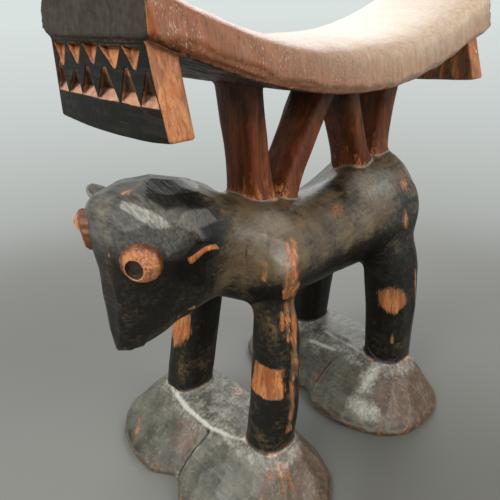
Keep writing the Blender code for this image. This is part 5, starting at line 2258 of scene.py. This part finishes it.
def lay_floor(scene, stage):
    """A wide floor with the headrest's shadow and painted shade near the camera's right, which the camera sees grow
    paler with distance.
    """
    reach = 8.0
    mesh = bpy.data.meshes.new("floor")
    corners = [(-reach, -reach, 0), (reach, -reach, 0), (reach, reach, 0), (-reach, reach, 0)]
    mesh.from_pydata(corners, [], [(0, 1, 2, 3)])
    floor = bpy.data.objects.new("floor", mesh)
    scene.collection.objects.link(floor)
    ground = bpy.data.materials.new("Floor")
    ground.use_nodes = True
    n = Nodes(ground.node_tree)
    shader = n.tree.nodes["Principled BSDF"]
    place = n.add("ShaderNodeSeparateXYZ", {"Vector": n.add("ShaderNodeTexCoord").outputs["Object"]}).outputs
    off_x = n.total(place["X"], 0.13)
    off_y = n.total(place["Y"], 0.12)
    away = n.math("SQRT", n.total(n.product(off_x, off_x), n.product(off_y, off_y)))
    side = n.math("DIVIDE", n.total(n.product(off_x, 0.748), n.product(off_y, -0.663)), away)
    # Painted shade towards the camera's right, close to the headrest
    corner = n.product(n.span(side, 0.02, 0.36), n.span(away, 0.25, 0.15))
    tone = n.blend(corner, stage.floor, stage.floor_shaded_corner)
    n.feed(shader.inputs["Base Color"], tone)
    shader.inputs["Roughness"].default_value = 0.6
    nearness = n.math("DIVIDE", 0.34, away, clamp=True)
    pale = n.blend(nearness, stage.floor_far, stage.floor_mid)
    glow = n.add("ShaderNodeEmission", {"Color": pale, "Strength": 1.0})
    seen = n.add("ShaderNodeLightPath").outputs
    either = n.math("MAXIMUM", seen["Is Camera Ray"], seen["Is Glossy Ray"])
    mixed = n.add("ShaderNodeMixShader")
    n.feed(mixed.inputs[0], n.product(either, n.span(away, 0.24, 0.46)))
    n.feed(mixed.inputs[1], shader.outputs[0])
    n.feed(mixed.inputs[2], glow.outputs[0])
    n.feed(n.tree.nodes["Material Output"].inputs["Surface"], mixed.outputs[0])
    mesh.materials.append(ground)


def light_world(scene, stage):
    """Even light from all round, and a pale backdrop for the camera."""
    world = bpy.data.worlds.new("studio")
    scene.world = world
    world.use_nodes = True
    n = Nodes(world.node_tree)
    even = n.tree.nodes["Background"]
    even.inputs["Color"].default_value = (1.0, 0.99, 0.97, 1.0)
    even.inputs["Strength"].default_value = stage.fill
    pale = n.add("ShaderNodeBackground", {"Color": stage.floor_far, "Strength": 1.0})
    seen = n.add("ShaderNodeLightPath").outputs
    either = n.add("ShaderNodeMixShader")
    n.feed(either.inputs[0], n.math("MAXIMUM", seen["Is Camera Ray"], seen["Is Glossy Ray"]))
    n.feed(either.inputs[1], even.outputs[0])
    n.feed(either.inputs[2], pale.outputs[0])
    n.feed(n.tree.nodes["World Output"].inputs["Surface"], either.outputs[0])


def place_camera(scene):
    """The camera at the photograph's place."""
    azimuth, elevation, roll = (math.radians(d) for d in (-41.5632, 25.3212, -1.6412))
    focal = 505.753
    back = Vector(
        (math.sin(azimuth) * math.cos(elevation), -math.cos(azimuth) * math.cos(elevation), math.sin(elevation))
    )
    right = Vector((math.cos(azimuth), math.sin(azimuth), 0.0))
    up = back.cross(right)
    turned_right = math.cos(roll) * right + math.sin(roll) * up
    turned_up = -math.sin(roll) * right + math.cos(roll) * up
    lens = bpy.data.cameras.new("camera")
    lens.sensor_width = 36.0
    lens.lens = 36.0 * focal / 500.0
    lens.clip_start = 0.005
    lens.clip_end = 20.0
    camera = bpy.data.objects.new("camera", lens)
    scene.collection.objects.link(camera)
    matrix = Matrix((turned_right, turned_up, back)).transposed().to_4x4()
    matrix.translation = Vector((-0.13053, -0.12168, 0.15975))
    camera.matrix_world = matrix
    scene.camera = camera


OPERATORS = [
    HEADREST_OT_pillow,
    HEADREST_OT_lugs,
    HEADREST_OT_struts,
    HEADREST_OT_torso,
    HEADREST_OT_head,
    HEADREST_OT_face,
    HEADREST_OT_legs,
    HEADREST_OT_bases,
    HEADREST_OT_stage,
]


class HEADREST_PT_sidebar(bpy.types.Panel):
    """Lists the headrest's pieces"""

    bl_idname = "HEADREST_PT_sidebar"
    bl_label = "Headrest"
    bl_space_type = "VIEW_3D"
    bl_region_type = "UI"
    bl_category = "Headrest"

    def draw(self, context):
        for operator in OPERATORS:
            self.layout.operator(operator.bl_idname)


def register():
    """Makes the settings, operators and panel known."""
    for name, group in SETTINGS.items():
        bpy.utils.register_class(group)
        setattr(bpy.types.Scene, name, PointerProperty(type=group))
    for cls in [*OPERATORS, HEADREST_PT_sidebar]:
        bpy.utils.register_class(cls)


def unregister():
    """Takes the settings, operators and panel away."""
    for cls in reversed([*OPERATORS, HEADREST_PT_sidebar]):
        bpy.utils.unregister_class(cls)
    for name, group in reversed(list(SETTINGS.items())):
        delattr(bpy.types.Scene, name)
        bpy.utils.unregister_class(group)


def main():
    """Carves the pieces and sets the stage."""
    register()
    for operator in OPERATORS:
        group, name = operator.bl_idname.split(".")
        getattr(getattr(bpy.ops, group), name)()
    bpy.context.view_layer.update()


if __name__ == "__main__":
    main()
